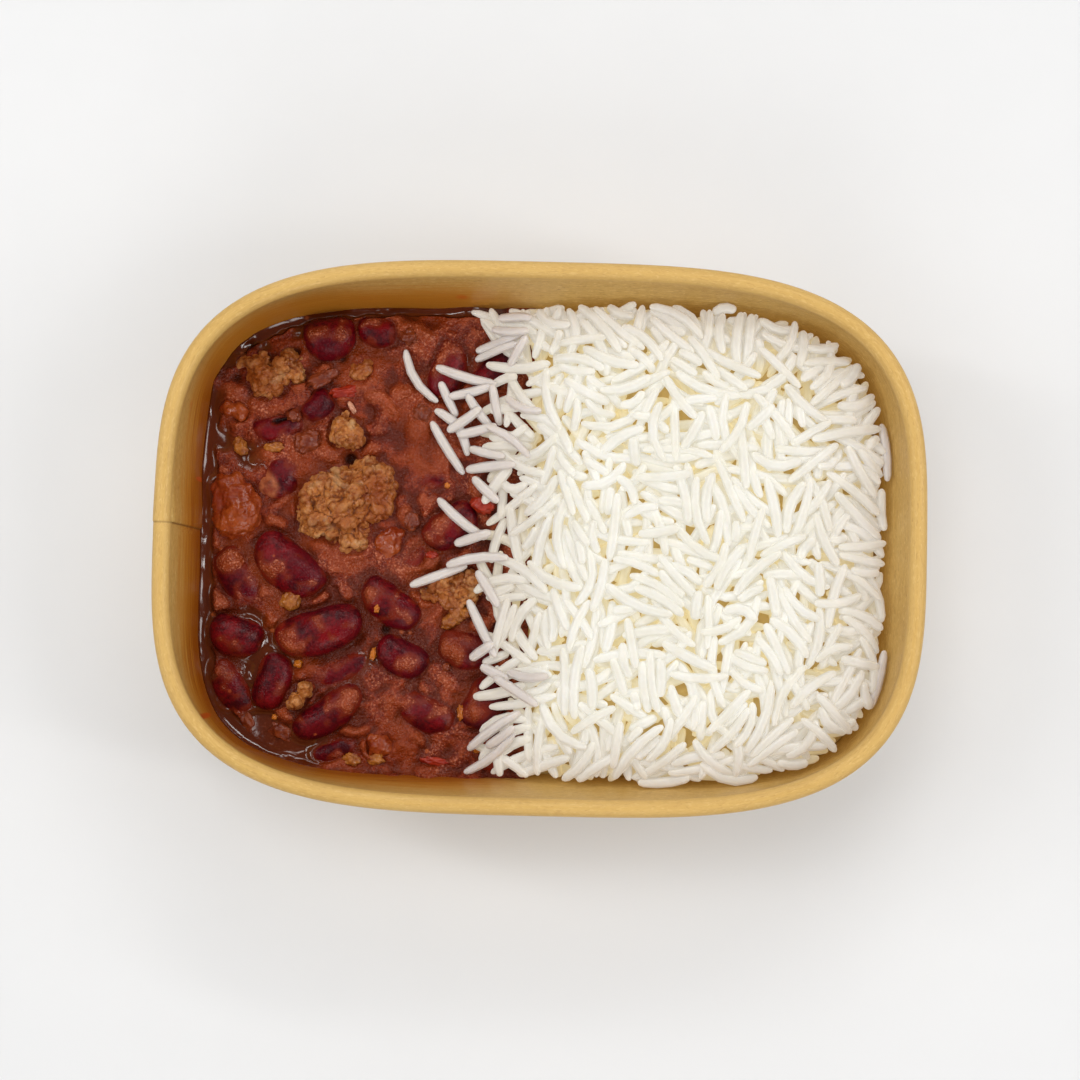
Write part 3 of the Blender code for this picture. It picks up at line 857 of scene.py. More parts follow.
# for each clump: crumbs on each square millimetre, their smallest and largest radius, the core's inset,
# the remesh step, the unevenness added, the rounds of smoothing and the height of the granules
clumps = {
    "mince_1": (0.10, 1.4, 3.2, 0.7, 0.28, 0.24, 8, 0.85),
    "mince_2": (0.12, 1.3, 2.6, 0.7, 0.28, 0.22, 8, 0.7),
    "mince_3": (0.14, 1.1, 2.2, 0.6, 0.26, 0.22, 6, 0.7),
    "mince_4": (0.09, 1.3, 3.4, 0.6, 0.26, 0.26, 7, 1.05),
    "mince_5": (0.30, 0.9, 1.6, 0.6, 0.26, 0.20, 5, 0.5),
    "mince_6": (0.12, 1.2, 2.6, 0.8, 0.28, 0.24, 6, 0.95),
    "tomato_1": (0.08, 1.2, 2.2, 0.4, 0.30, 0.24, 20, 0.0),
    "tomato_2": (0.02, 2.2, 3.4, 0.3, 0.34, 0.36, 30, 0.0),
    "tomato_3": (0.10, 1.4, 2.4, 0.5, 0.30, 0.26, 18, 0.35),
    "tomato_4": (0.05, 1.6, 2.6, 0.4, 0.32, 0.30, 24, 0.0),
}


# crumbs strewn over a core and joined with it
def makeCrumbTree():
    inputs = {"Crumbs Per Area": "Float", "Smallest": "Float", "Largest": "Float", "Inset": "Float", "Seed": "Int"}
    tree, sockets, given = startShapeTree("Crumbs On A Core", inputs)
    strewn = {"Mesh": given["Geometry"], "Density": given["Crumbs Per Area"], "Seed": given["Seed"]}
    spread = addNode(tree, "GeometryNodeDistributePointsOnFaces", strewn, distribute_method="RANDOM").outputs
    normal = addNode(tree, "GeometryNodeInputNormal").outputs[0]
    core = shifted(tree, given["Geometry"], scaled(tree, normal, times(tree, given["Inset"], -1.0)))
    ball = addNode(tree, "GeometryNodeMeshIcoSphere", {"Radius": 1.0, "Subdivisions": 3}).outputs["Mesh"]
    chance = chanceBetween(tree, 0.0, 1.0, given["Seed"])
    larger = times(tree, minus(tree, given["Largest"], given["Smallest"]), math2(tree, "POWER", chance, 2.6))
    size = plus(tree, given["Smallest"], larger)
    # a crumb sinks by its own size, so that small ones show between large ones
    sunk = minus(tree, times(tree, size, -0.74), 0.12 * mm)
    placed = shifted(tree, spread["Points"], scaled(tree, spread["Normal"], sunk))
    scale = scaled(tree, chanceBetween(tree, (0.75, 0.75, 0.75), (1.35, 1.1, 1.0), 5), size)
    turn = chanceBetween(tree, (0.0, 0.0, 0.0), (6.28, 6.28, 6.28), 9)
    strewn = {"Points": placed, "Instance": ball, "Scale": scale, "Rotation": turn}
    crumbs = addNode(tree, "GeometryNodeInstanceOnPoints", strewn).outputs[0]
    joined = addNode(tree, "GeometryNodeJoinGeometry")
    tree.links.new(crumbs, joined.inputs[0])
    tree.links.new(core, joined.inputs[0])
    endShapeTree(tree, joined.outputs[0], given["Finish"])
    return tree, sockets


def makeMinceCrumb():
    crumb, tree, shader = startMaterial(
        "minceCrumb", shade(160, 106, 60), coatRoughness=0.15, specularIorLevel=0.22,
    )
    place = objectPlace(tree)
    tone = mottled(tree, place, shade(174, 106, 48), shade(126, 62, 18), 260.0, 1500.0, 0.9, 0.8)
    hollow = readNumbers(tree, "hollow")
    # painted shade in the hollows, and a painted highlight on the crests
    colour = tinted(tree, tone, hollow, 0.07, 0.5, 0.85, shade(82, 34, 10))
    colour = tinted(tree, colour, hollow, -0.05, -0.3, 0.3, shade(186, 138, 90))
    fat = noiseAt(tree, place, 210.0, 1.0)
    colour = tinted(tree, colour, fat, 0.62, 0.72, 0.5, shade(186, 146, 98))
    ruddy = noiseAt(tree, place, 160.0, 2.0)
    colour = tinted(tree, colour, ruddy, 0.5, 0.66, 0.55, shade(140, 72, 30))
    sauced = readNumbers(tree, "sauced")
    colour = mixColours(tree, times(tree, sauced, 0.8), colour, shade(132, 56, 14))
    rough, wet = glossOf(tree, place, 420.0, 0.28, 0.6, times(tree, sauced, 0.5))
    relief = reliefOf(tree, place, 900.0, 3000.0, 0.6)
    driveShader(tree, shader, colour, rough, relief, 0.7, 0.25, coatWeight=times(tree, wet, 0.2))
    return crumb


def makeTomatoFlesh():
    flesh, tree, shader = startMaterial(
        "tomatoFlesh", shade(150, 48, 22), coatRoughness=0.12, specularIorLevel=0.35,
    )
    place = objectPlace(tree)
    tone = mottled(tree, place, shade(148, 64, 20), shade(120, 38, 10), 180.0, 1200.0, 0.5, 0.8)
    hollow = readNumbers(tree, "hollow")
    # painted shade in the hollows
    colour = tinted(tree, tone, hollow, 0.1, 0.6, 0.6, shade(84, 24, 8))
    pale = noiseAt(tree, place, 120.0, 2.0)
    colour = tinted(tree, colour, pale, 0.55, 0.7, 0.6, shade(150, 68, 26))
    rough, wet = glossOf(tree, place, 380.0, 0.2, 0.5, 0.1)
    relief = reliefOf(tree, place, 700.0, 2600.0, 0.6)
    driveShader(tree, shader, colour, rough, relief, 0.7, 0.2, coatWeight=times(tree, wet, 0.4))
    return flesh


# where sauce has run over mince: x, y, radius and amount
saucedSpots = (
    (-37.5, 12.0, 4.0, 1.0), (-36.0, 5.0, 3.5, 0.8), (-42.0, 3.0, 3.0, 0.5), (-66.5, 36.0, 3.8, 0.8),
    (-60.0, 33.5, 3.0, 0.7), (-61.5, 41.5, 3.4, 0.6), (-23.5, -14.5, 2.5, 0.5), (-42.8, 39.4, 3.5, 0.8),
)
# granules on mince: sizes of the coarse and fine ones, widths of the grooves between them, and how the
# pattern is bent
granule = {
    "coarse": 4.0,
    "fine": 1.35,
    "valley": 0.1,
    "groove": 0.16,
    "bend": 1.5,
    "fineBend": 0.35,
}

crumbTree, crumbSockets = makeCrumbTree()


# packed granules of two sizes with valleys between them, coarser in some places than in others
def granuleRise(point, seed):
    bent = point + granule["bend"] * noise.noise_vector(point * 0.4 + Vector((seed, 0, 0)))
    bent += granule["fineBend"] * noise.noise_vector(point * 1.3)
    coarse = noise.voronoi(bent / granule["coarse"])[0]
    fine = noise.voronoi(bent / granule["fine"])[0]
    rough = min(max(0.5 + 1.3 * noise.noise(point * 0.3 + Vector((0, seed, 5))), 0.1), 1)
    valley = math.exp(-(((coarse[1] - coarse[0]) / granule["valley"]) ** 2))
    groove = math.exp(-(((fine[1] - fine[0]) / granule["groove"]) ** 2))
    grit = noise.noise(point * 2.6) + 0.6 * noise.noise(point * 5.0)
    small = rough * (0.3 * fine[0] ** 2 + 0.16 * groove)
    return 0.5 - 0.95 * coarse[0] ** 2 - 0.5 * valley - small + 0.1 * grit


# unevenness in four sizes
def roughness(point):
    waves = ((0.4, 1.6), (0.9, 1), (1.8, 0.55), (3.5, 0.3))
    return sum(amount * noise.noise(point * scale) for scale, amount in waves)


def makeClump(node, seed, finish):
    density, smallest, largest, inset, step, uneven, rounds, granules = clumps[node]
    clump = mergedCopy(node, "chili_" + node)
    clump.data.materials.append(finish)
    modifier = clump.modifiers.new("crumbs", "NODES")
    modifier.node_group = crumbTree
    lengths = {"Smallest": smallest * mm, "Largest": largest * mm, "Inset": inset * mm}
    for label, value in {"Crumbs Per Area": density * 1e6, **lengths, "Seed": seed, "Finish": finish}.items():
        modifier[crumbSockets[label]] = value
    remesh = clump.modifiers.new("one skin", "REMESH")
    remesh.mode = "VOXEL"
    remesh.voxel_size = step * mm
    soften = clump.modifiers.new("soften", "SMOOTH")
    soften.factor, soften.iterations = 0.5, rounds
    applyModifiers(clump)
    mesh = clump.data
    mesh.materials.clear()
    mesh.materials.append(finish)
    mesh.shade_smooth()
    points, normals = getPoints(mesh), getNormals(mesh)
    offsets = uneven * np.array([roughness(Vector(p)) for p in points])
    if granules:
        offsets += granules * np.array([granuleRise(Vector(p), seed) for p in points])
    points += normals * offsets[:, None]
    setPoints(mesh, points)
    # how deep each point lies in a hollow, for the painted shade and crest highlight
    setNumbers(mesh, "hollow", hollows(mesh, 14))
    setNumbers(mesh, "sauced", np.clip(bumps(points[:, 0], points[:, 1], saucedSpots), 0, 1))
    return clump


minceCrumb, tomatoFlesh = makeMinceCrumb(), makeTomatoFlesh()
minces = {f"mince_{n}": makeClump(f"mince_{n}", n, minceCrumb) for n in range(1, 7)}
tomatoes = {f"tomato_{n}": makeClump(f"tomato_{n}", 20 + n, tomatoFlesh) for n in range(1, 5)}
print("mince and tomato made:", sum(len(o.data.polygons) for o in [*minces.values(), *tomatoes.values()]), "faces")


# The sauce.

sauce = {
    "level": 33.3,
    "right": -2.2,  # where it ends under the rice
    "steps": (205, 285),
    "bare": -0.55,  # how deep the sauce stays under a bare bean's skin
    "climb": 0.8,  # how high it clings to what stands in it where it is thin
    "moat": 0.45,  # how low it lies beside it where it is thick
    "wallClimb": 1.0,
    "leftBand": (3.4, 1.6),  # how far from the wall the watery band ends and is full
    "farBand": (2.4, 1.2),
    "leftAcross": 62,  # about how many millimetres a whole reach is, towards either wall
    "farAcross": 50,
    "lumps": 150,  # small pieces hidden in it
    "lumpLong": (2.2, 5.4),
    "lumpWide": (1.5, 3.2),
    "lumpRise": (0.7, 2.6),
    "seed": 5,
}
# lumps under the sauce: x, y, radius and rise
lumpSpots = (
    (-73.4, 33.0, 3.0, 1.6), (-28.0, 46.0, 5.0, 2.0), (-32.0, 49.0, 3.0, 1.2), (-17.0, 50.5, 5.0, 1.6),
    (-28.2, 27.8, 4.0, 1.6), (-54.8, 20.8, 3.6, 1.4), (-21.0, -31.6, 3.6, 1.4), (-42.0, 34.0, 4.0, 1.0),
    (-14.0, 9.0, 4.0, 1.2), (-39.0, -4.0, 4.5, 1.0), (-33.0, 31.0, 6.0, 1.0), (-30.0, 21.0, 5.0, 0.8),
    (-34.0, -34.0, 5.0, 1.0), (-30.0, -46.0, 5.0, 0.7), (-66.0, 31.5, 3.0, 0.8), (-50.0, -5.0, 5.0, 0.6),
)
# where it is thin and watery: x, y, radius and amount
waterySpots = (
    (-77.6, 24.2, 2.1, 1), (-77.2, 12.6, 2.1, 1), (-77.2, -1.3, 1.9, 1), (-76.7, -15.1, 1.9, 1),
    (-76.0, -24.3, 2.1, 1), (-67.5, 18.6, 4.7, 0.8), (-74.1, 22.0, 3.0, 0.9), (-63.3, -26.3, 4.7, 1),
    (-54.7, -19.2, 2.1, 0.5), (-66.2, -19.5, 3.4, 1), (-57.9, -29.6, 2.6, 1), (-64.6, -33.2, 4.3, 1),
    (-65.3, -47.0, 4.7, 0.9), (-56.1, -47.9, 5.1, 1), (-62.7, -42.3, 3.8, 1), (-50.4, -48.9, 3.8, 0.8),
    (-36.2, -25.7, 2.1, 0.8), (-39.3, -28.0, 2.6, 0.8), (-42.9, -31.6, 3.4, 0.6), (-48.9, 15.6, 1.3, 0.5),
    (-57.5, -5.4, 2.1, 0.3), (-56.8, 48.0, 2.6, 0.8), (-64.8, 44.3, 2.1, 0.8), (-45.1, 44.8, 1.9, 0.6),
    (-46.5, 53.0, 2.6, 0.8), (-31.4, 52.9, 3.4, 0.7), (-22.2, 53.6, 2.6, 0.6), (-17.2, 42.0, 1.7, 0.5),
    (-51.6, -46.6, 3.0, 0.8), (-46.0, -19.0, 1.7, 0.4), (-65.7, -1.3, 1.7, 0.4),
)
# gaps between the pieces, sunk and painted nearly black as shade: x, y, radius and depth
pitSpots = (
    (-44.2, 18.4, 1.5, 2.4), (-60.8, 27.0, 1.3, 1.5), (-52.5, 32.8, 1.4, 1.8), (-8.6, -19.4, 1.7, 2.4),
    (-57.5, 43.0, 1.3, 1.6), (-71.0, 36.6, 1.2, 1.2), (-35.0, -21.0, 1.3, 1.8), (-9.4, -9.0, 1.4, 1.8),
    (-7.4, -29.4, 1.4, 1.6), (-68.0, 44.5, 1.4, 1.2), (-46.8, 41.6, 1.2, 1.2),
)
foodFloor = (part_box("chili_sauce")[0] / mm).z


# spreads a square from -1 to 1 over the tub's inside at a height
def spreadAcross(u, v, z):
    halfX, halfY = innerHalf(z)
    power = outlinePower(z)
    farthest = np.maximum(np.abs(u), np.abs(v))
    shrink = farthest / np.maximum((np.abs(u) ** power + np.abs(v) ** power) ** (1 / power), 1e-9)
    return u * shrink * halfX, v * shrink * halfY


def sunTree(pieces):
    corners, faces = [], []
    for piece in pieces:
        offset = len(corners)
        corners += [Vector(p) for p in getPoints(piece.data)]
        faces += [[offset + i for i in polygon.vertices] for polygon in piece.data.polygons]
    return BVHTree.FromPolygons(corners, faces)


# the highest surface at each place, or a low level where there is none
def topsAt(tree, x, y, missing):
    down = Vector((0, 0, -1))
    tops = np.full(x.size, missing, float)
    for index, (px, py) in enumerate(zip(x.ravel(), y.ravel())):
        hit = tree.ray_cast(Vector((px, py, 60)), down)[0]
        if hit:
            tops[index] = hit.z
    return tops.reshape(x.shape)


# a block of food: an uneven top over the tub's inside, with sides along the wall and a flat bottom
def makeFoodBlock(name, u, v, x, y, z, floor, finish, levels=5):
    columns, rows = z.shape
    index = np.arange(columns * rows).reshape(columns, rows)
    squares = np.stack((index[:-1, :-1], index[1:, :-1], index[1:, 1:], index[:-1, 1:]), axis=-1)
    faces = squares.reshape(-1, 4).tolist()
    loop = np.concatenate((index[:-1, 0], index[-1, :-1], index[:0:-1, -1], index[0, :0:-1]))
    points = [np.column_stack((x.ravel(), y.ravel(), z.ravel()))]
    loopU, loopV = np.broadcast_to(u, z.shape).ravel()[loop], np.broadcast_to(v, z.shape).ravel()[loop]
    top = z.ravel()[loop]
    last, count = loop, len(loop)
    total = columns * rows
    for level in range(1, levels + 1):
        depth = top + (floor - top) * level / levels
        edgeX, edgeY = spreadAcross(loopU, loopV, depth)
        points.append(np.column_stack((edgeX * 0.9995, edgeY * 0.9995, depth)))
        ring = np.arange(total, total + count)
        total += count
        faces += np.column_stack((last, ring, np.roll(ring, -1), np.roll(last, -1))).tolist()
        last = ring
    faces.append(last[::-1].tolist())
    return addPiece(name, np.concatenate(points), faces, finish)


def makeSauceFinish():
    finish, tree, shader = startMaterial(
        "chiliSauce", shade(120, 46, 28), coatRoughness=0.1, specularIorLevel=0.22,
    )
    place = objectPlace(tree)
    raised = readNumbers(tree, "raised")
    watery, film = readNumbers(tree, "watery"), readNumbers(tree, "film")
    tone = mottled(tree, place, shade(134, 50, 21), shade(94, 25, 8), 150.0, 1500.0, 0.8, 0.8)
    # painted shade in the hollows and along the wall, painted highlight on the raised parts
    colour = tinted(tree, tone, raised, -0.1, -0.9, 0.9, shade(82, 24, 6))
    colour = tinted(tree, colour, raised, 0.1, 1.0, 0.6, shade(152, 68, 34))
    orange = noiseAt(tree, place, 75.0, 2.0)
    colour = tinted(tree, colour, orange, 0.49, 0.63, 0.65, shade(124, 46, 8))
    colour = tinted(tree, colour, film, 0.3, 0.95, 0.6, shade(98, 20, 14))
    colour = tinted(tree, colour, watery, 0.25, 0.8, 0.85, shade(78, 30, 8))
    # painted sheen and glints: light flecks in patches, mostly on raised thick sauce
    sheenPatch = noiseAt(tree, place, 55.0, 2.0)
    glints = noiseAt(tree, place, 1900.0, 2.0)
    glint = times(tree, between(tree, glints, 0.5, 0.72), between(tree, sheenPatch, 0.34, 0.6, 0.15, 0.95))
    glint = times(tree, glint, between(tree, watery, 0.2, 0.6, 1.0, 0.2), between(tree, raised, -0.6, 0.3, 0.2, 1.0))
    colour = mixColours(tree, glint, colour, shade(184, 108, 78))
    # painted shade, nearly black, in the gaps between the pieces
    colour = tinted(tree, colour, readNumbers(tree, "pit"), 0.4, 1.6, 0.85, shade(30, 8, 3))
    speck = times(tree, specksAt(tree, place, 330.0, 0.1, 0.25, 0.74, 0.82), 0.55)
    colour = mixColours(tree, speck, colour, shade(190, 96, 50))
    rough, _ = glossOf(tree, place, 260.0, 0.24, 0.4, watery)
    rough = minus(tree, rough, times(tree, watery, 0.15))
    relief = reliefOf(tree, place, 700.0, 2300.0, 0.9)
    height = times(tree, relief, between(tree, watery, 0.2, 0.8, 1.0, 0.06))
    coat = between(tree, watery, 0.2, 0.8, 0.05, 1.0)
    driveShader(tree, shader, colour, rough, height, 1.0, 0.42, coatWeight=coat)
    return finish


# how far rounded pieces under the sauce lift its surface
def hiddenLumps(x, y):
    rng = np.random.default_rng(sauce["seed"])
    lift = np.zeros_like(x)
    for _ in range(sauce["lumps"]):
        middleX, middleY, turn = rng.uniform(-80, 2), rng.uniform(-56, 56), rng.uniform(0, math.pi)
        halfLong, halfWide, rise = (rng.uniform(*sauce[key]) for key in ("lumpLong", "lumpWide", "lumpRise"))
        along = ((x - middleX) * math.cos(turn) + (y - middleY) * math.sin(turn)) / halfLong
        across = ((y - middleY) * math.cos(turn) - (x - middleX) * math.sin(turn)) / halfWide
        dome = (rise + 1.2) * np.sqrt(np.clip(1 - along**2 - across**2, 0, 1)) - 1.2
        lift = softMax(lift, dome, 0.5)
    return lift


# where the sauce is thin: in its pools, and in a band along the left wall and along the far one
def wateryAt(x, y, reach):
    watery = np.clip(bumps(x, y, waterySpots) + 0.15 * swell(x, y, 3, 4), 0, 1)
    left = smoothStep(-50, -62, x) * smoothStep(40, 28, y)
    far = smoothStep(36, 42, y) * smoothStep(-6, -12, x)
    for side, band, across, seed in ((left, "leftBand", "leftAcross", 18), (far, "farBand", "farAcross", 19)):
        toWall = (1 - reach) * sauce[across] + 0.6 * swell(x, y, 4, seed)
        watery = np.maximum(watery, smoothStep(*sauce[band], toWall) * side)
    return watery


def makeSauce(finish):
    columns, rows = sauce["steps"]
    u = np.linspace(-1, sauce["right"] / innerHalf(sauce["level"])[0], columns)[:, None]
    v = np.sin(np.linspace(-1, 1, rows) * math.pi / 2 * 0.92)[None] / math.sin(math.pi / 2 * 0.92)
    u, v = np.broadcast_arrays(u, v)
    x, y = spreadAcross(u, v, sauce["level"])
    reach = reachAt(x, y, sauce["level"])
    watery = wateryAt(x, y, reach)
    thick = 1 - smoothStep(0.1, 0.9, watery)
    base = sauce["level"] + 0.8 * swell(x, y, 13, 1) + bumps(x, y, lumpSpots)
    warpX, warpY = x + 1.5 * swell(x, y, 6, 5), y + 1.5 * swell(x, y, 6, 6)
    folds = 1 - np.abs(swell(warpX, warpY, 7.5, 7)) * 1.6
    pulp = 0.5 * swell(warpX, warpY, 3.6, 8) + 0.3 * swell(warpX, warpY, 1.7, 9) + 0.12 * swell(x, y, 0.9, 10)
    base += (0.02 + 0.98 * thick) * (0.7 * folds + pulp)
    base -= (1 - thick) * 0.6
    beanTops = topsAt(sunTree(beans.values()), x, y, 20.0)
    clumpTops = topsAt(sunTree([*minces.values(), *tomatoes.values()]), x, y, 20.0)
    solids = np.maximum(beanTops, clumpTops)
    standing = (solids > base + 0.1).astype(float)
    near = np.clip(blurred(standing, 2.6), 0, 1)
    base += hiddenLumps(warpX, warpY) * (0.08 + 0.92 * thick) * (1 - smoothStep(0.08, 0.4, near))
    beside = np.clip(4 * near * (1 - near), 0, 1) ** 1.5
    parted = smoothStep(-0.3, 0.4, swell(x, y, 5.5, 17))
    base += (sauce["climb"] * (1 - thick) - sauce["moat"] * thick * parted) * beside
    toWall = (1 - reach) * sauce["leftAcross"]
    base += sauce["wallClimb"] * np.exp(-toWall / 0.8)
    film = bumps(x, y, filmSpots)
    uneven = (0.05 + 0.75 * thick) * swell(warpX, warpY, 3.6, 12) + 0.15 * swell(x, y, 1.4, 13)
    cover = blurred(solids, 0.8) + sauce["bare"] + 0.9 * film + uneven + 0.2 * thick
    cover -= 0.8 * blurred((clumpTops > beanTops).astype(float), 1.5)
    top = softMax(base, cover, 0.7)
    top = blurred(top, 0.6)
    pits = bumps(x, y, pitSpots)
    top -= pits
    over = np.clip(top - solids, 0, 5)
    x, y = spreadAcross(u, v, np.where(reach > 0.97, top, sauce["level"]))
    piece = makeFoodBlock("chili_sauce_body", u, v, x, y, top, foodFloor, finish)
    mesh = piece.data
    extra = len(mesh.vertices) - top.size
    # rises above the smoothed surface, hollows below it, and lower next to the wall: where shade and highlight are
    # painted
    raised = (top - blurred(top, 6)) / 0.6 - 1.2 * np.exp(-toWall / 0.9)
    film = np.where(solids > 25, np.exp(-over / 0.7), 0)
    for name, field in (("raised", raised), ("pit", pits), ("watery", watery), ("film", film)):
        setNumbers(mesh, name, np.concatenate((field.ravel(), np.zeros(extra))))
    return piece


# sauce thins out over a bean where the bean rises from it
def coatBeans(surface):
    for seed, bean in enumerate(beans.values()):
        mesh = bean.data
        points = getPoints(mesh)
        bare = points[:, 2] - topsAt(surface, points[:, 0], points[:, 1], 0.0)
        film = np.empty(len(points), np.float32)
        mesh.attributes["film"].data.foreach_get("value", film)
        bare += 0.16 * swell(points[:, 0], points[:, 1], 2.2, 60 + seed)
        film = np.maximum(film, 0.95 * smoothStep(0.46, 0.0, bare))
        mesh.attributes["film"].data.foreach_set("value", film.astype(np.float32))


sauceFinish = makeSauceFinish()
sauceBody = makeSauce(sauceFinish)
coatBeans(sunTree([sauceBody]))
print("sauce made:", len(sauceBody.data.polygons), "faces")


# Small things in the sauce.

# kind: rows of x, y, half length, half width, turn in degrees, share that stands out
smallThings = {
    "pepper_strips": (
        (-45.4, 34.0, 4.0, 1.4, 10, 0.45), (-23.2, -50.7, 3.0, 0.9, -5, 0.5), (-13.5, 8.2, 2.6, 1.7, -20, 0.6),
        (-24.9, -3.6, 1.3, 0.9, 0, 0.7), (-10.9, -51.3, 1.5, 1.1, 0, 0.7),
    ),
    "golden_nuggets": (
        (-69.8, 20.7, 2.1, 1.5, -60, 0.7), (-62.0, 20.6, 2.1, 1.1, 0, 0.6), (-57.0, -14.7, 2.3, 2.1, 60, 0.9),
        (-42.1, -50.9, 2.1, 1.3, -10, 0.6), (-36.4, -50.8, 1.9, 1.3, 10, 0.6),
        (-20.2, -18.7, 2.1, 1.7, 20, 0.8), (-16.6, -16.7, 1.3, 1.3, 0, 0.8),
    ),
    "amber_seeds": (
        (-17.3, -39.6, 1.7, 0.7, 90, 0.8), (-37.6, -26.6, 1.5, 0.7, 80, 0.8), (-13.2, -48.2, 0.9, 0.6, 0, 0.8),
        (-21.7, 12.6, 0.6, 0.6, 0, 0.8), (-54.9, -29.3, 0.9, 0.9, 0, 0.8), (-37.0, -16.3, 0.9, 0.6, 80, 0.8),
        (-60.0, -41.6, 0.6, 0.6, 0, 0.8),
    ),
    "sauced_lumps": (
        (-54.2, 22.0, 3.0, 2.3, 20, 0.5), (-51.2, 36.9, 3.6, 1.6, 25, 0.5), (-57.6, 28.0, 1.6, 1.4, 0, 0.9),
        (-27.9, 28.9, 1.9, 2.1, 30, 0.5), (-31.4, 46.7, 1.9, 1.7, 0, 0.6), (-29.7, 3.9, 1.7, 1.9, 0, 0.5),
        (-20.8, -29.2, 0.9, 0.9, 0, 0.7), (-58.4, -44.8, 3.0, 2.0, -30, 0.3),
        (-66.4, -42.6, 2.8, 1.6, -60, 0.25),
    ),
    "pale_bits": (
        (-44.3, 30.3, 1.5, 0.6, -60, 0.9),
    ),
}
smallColours = {
    "pepper_strips": (shade(158, 42, 12), shade(128, 26, 8), 0.3),
    "golden_nuggets": (shade(164, 98, 34), shade(124, 60, 16), 0.3),
    "amber_seeds": (shade(186, 104, 26), shade(150, 76, 16), 0.2),
    "sauced_lumps": (shade(124, 52, 20), shade(96, 32, 12), 0.3),
    "pale_bits": (shade(206, 150, 120), shade(180, 116, 90), 0.25),
}


def makeSmallFinish(kind):
    light, dark, gloss = smallColours[kind]
    finish, tree, shader = startMaterial(
        kind, light, coatRoughness=0.12, coatWeight=0.12, specularIorLevel=0.35,
    )
    place = objectPlace(tree)
    colour = mottled(tree, place, light, dark, 420.0, 1500.0, 0.5, 0.8)
    rough, _ = glossOf(tree, place, 500.0, gloss, 0.5, 0.1)
    driveShader(tree, shader, colour, rough, reliefOf(tree, place, 900.0, 3000.0, 0.5), 0.6, 0.15)
    return finish


def ballMesh(subdivisions):
    ball = bmesh.new()
    bmesh.ops.create_icosphere(ball, subdivisions=subdivisions, radius=1)
    points = np.array([v.co for v in ball.verts])
    faces = np.array([[v.index for v in f.verts] for f in ball.faces])
    ball.free()
    return points, faces


def makeSmallThings(kind, surface):
    unit, faces = ballMesh(4)
    allPoints, allFaces = [], []
    for index, (x, y, halfLength, halfWidth, turn, stands) in enumerate(smallThings[kind]):
        ground = topsAt(surface, np.array([x]), np.array([y]), sauce["level"])[0]
        squared = np.sign(unit) * np.abs(unit) ** 0.92
        lump = np.array([noise.noise(Vector(p) * 1.7 + Vector((x, y, 0))) for p in unit])
        lump += 0.5 * np.array([noise.noise(Vector(p) * 4.0 + Vector((y, x, 0))) for p in unit])
        shaped = squared * (1 + 0.4 * lump)[:, None]
        halfHeight = min(halfWidth * 0.9, 1.4)
        shaped = shaped * (halfLength, halfWidth, halfHeight)
        angle = math.radians(turn)
        turned = np.column_stack((
            shaped[:, 0] * math.cos(angle) - shaped[:, 1] * math.sin(angle),
            shaped[:, 0] * math.sin(angle) + shaped[:, 1] * math.cos(angle),
            shaped[:, 2],
        ))
        middle = np.array((x, y, ground + halfHeight * (2 * stands - 1)))
        allFaces.append(faces + len(unit) * index)
        allPoints.append(turned + middle)
    return addPiece(kind, np.concatenate(allPoints), np.concatenate(allFaces).tolist(), makeSmallFinish(kind))


chiliTree = sunTree([sauceBody, *beans.values(), *minces.values(), *tomatoes.values()])
smallPieces = {kind: makeSmallThings(kind, chiliTree) for kind in smallThings}
print("small things made:", sum(len(rows) for rows in smallThings.values()))


# Rice.

rice = {
    "edge": -9.5,
    "rimLevel": 41.5,
    "crown": 48.0,
    "fringeLevel": 36.5,
    "bed": 6.0,  # depth of loose grains over the core
    "coreOutline": 29.0,  # the level whose outline the core follows, so that it stays within the board
    "coreLowest": 27.0,
    "length": (10.5, 16.5),
    "radius": (1.06, 1.32),
    "bow": 0.17,  # how far a grain curves, as a share of its length
    "steepest": 0.75,
    "tries": 6,
    "proud": 2.0,  # how far a grain may stand out of the heap's outline
    "patience": 240,  # misses in a row after which the heap counts as full
    "snug": 0.6,  # share of its radius that a grain keeps free round it
    "grains": 1950,
    "drawn": 16,  # places drawn for each grain, of which the deepest is taken
    "brokenShare": 0.12,
    "broken": 0.7,  # length of a broken grain, and of a filler in the last gaps
    "filler": 0.55,
    "wallLevel": 42.0,  # where a grain is kept off the wall, and how near it may come
    "wallReach": 0.982,
    "seed": 7,
    "sides": 6,
    "marginTint": (0.84, 0.8, 0.78, 1),
}
# light and dark colour, the deep colour painted as shade low in the heap, and the painted glow (emission) that
# stands in for light passed on, at the top and deep down
riceColours = {
    "boiledRice": ((194, 192, 187), (184, 180, 169), (196, 184, 150), (152, 151, 144), (160, 150, 116)),
    "looseBoiledRice": ((196, 189, 184), (187, 179, 173), (190, 181, 169), (84, 80, 77), (84, 80, 77)),
    "riceCoreShade": ((208, 188, 138), (190, 164, 104), (200, 176, 120), (84, 70, 38), (88, 72, 38)),
}
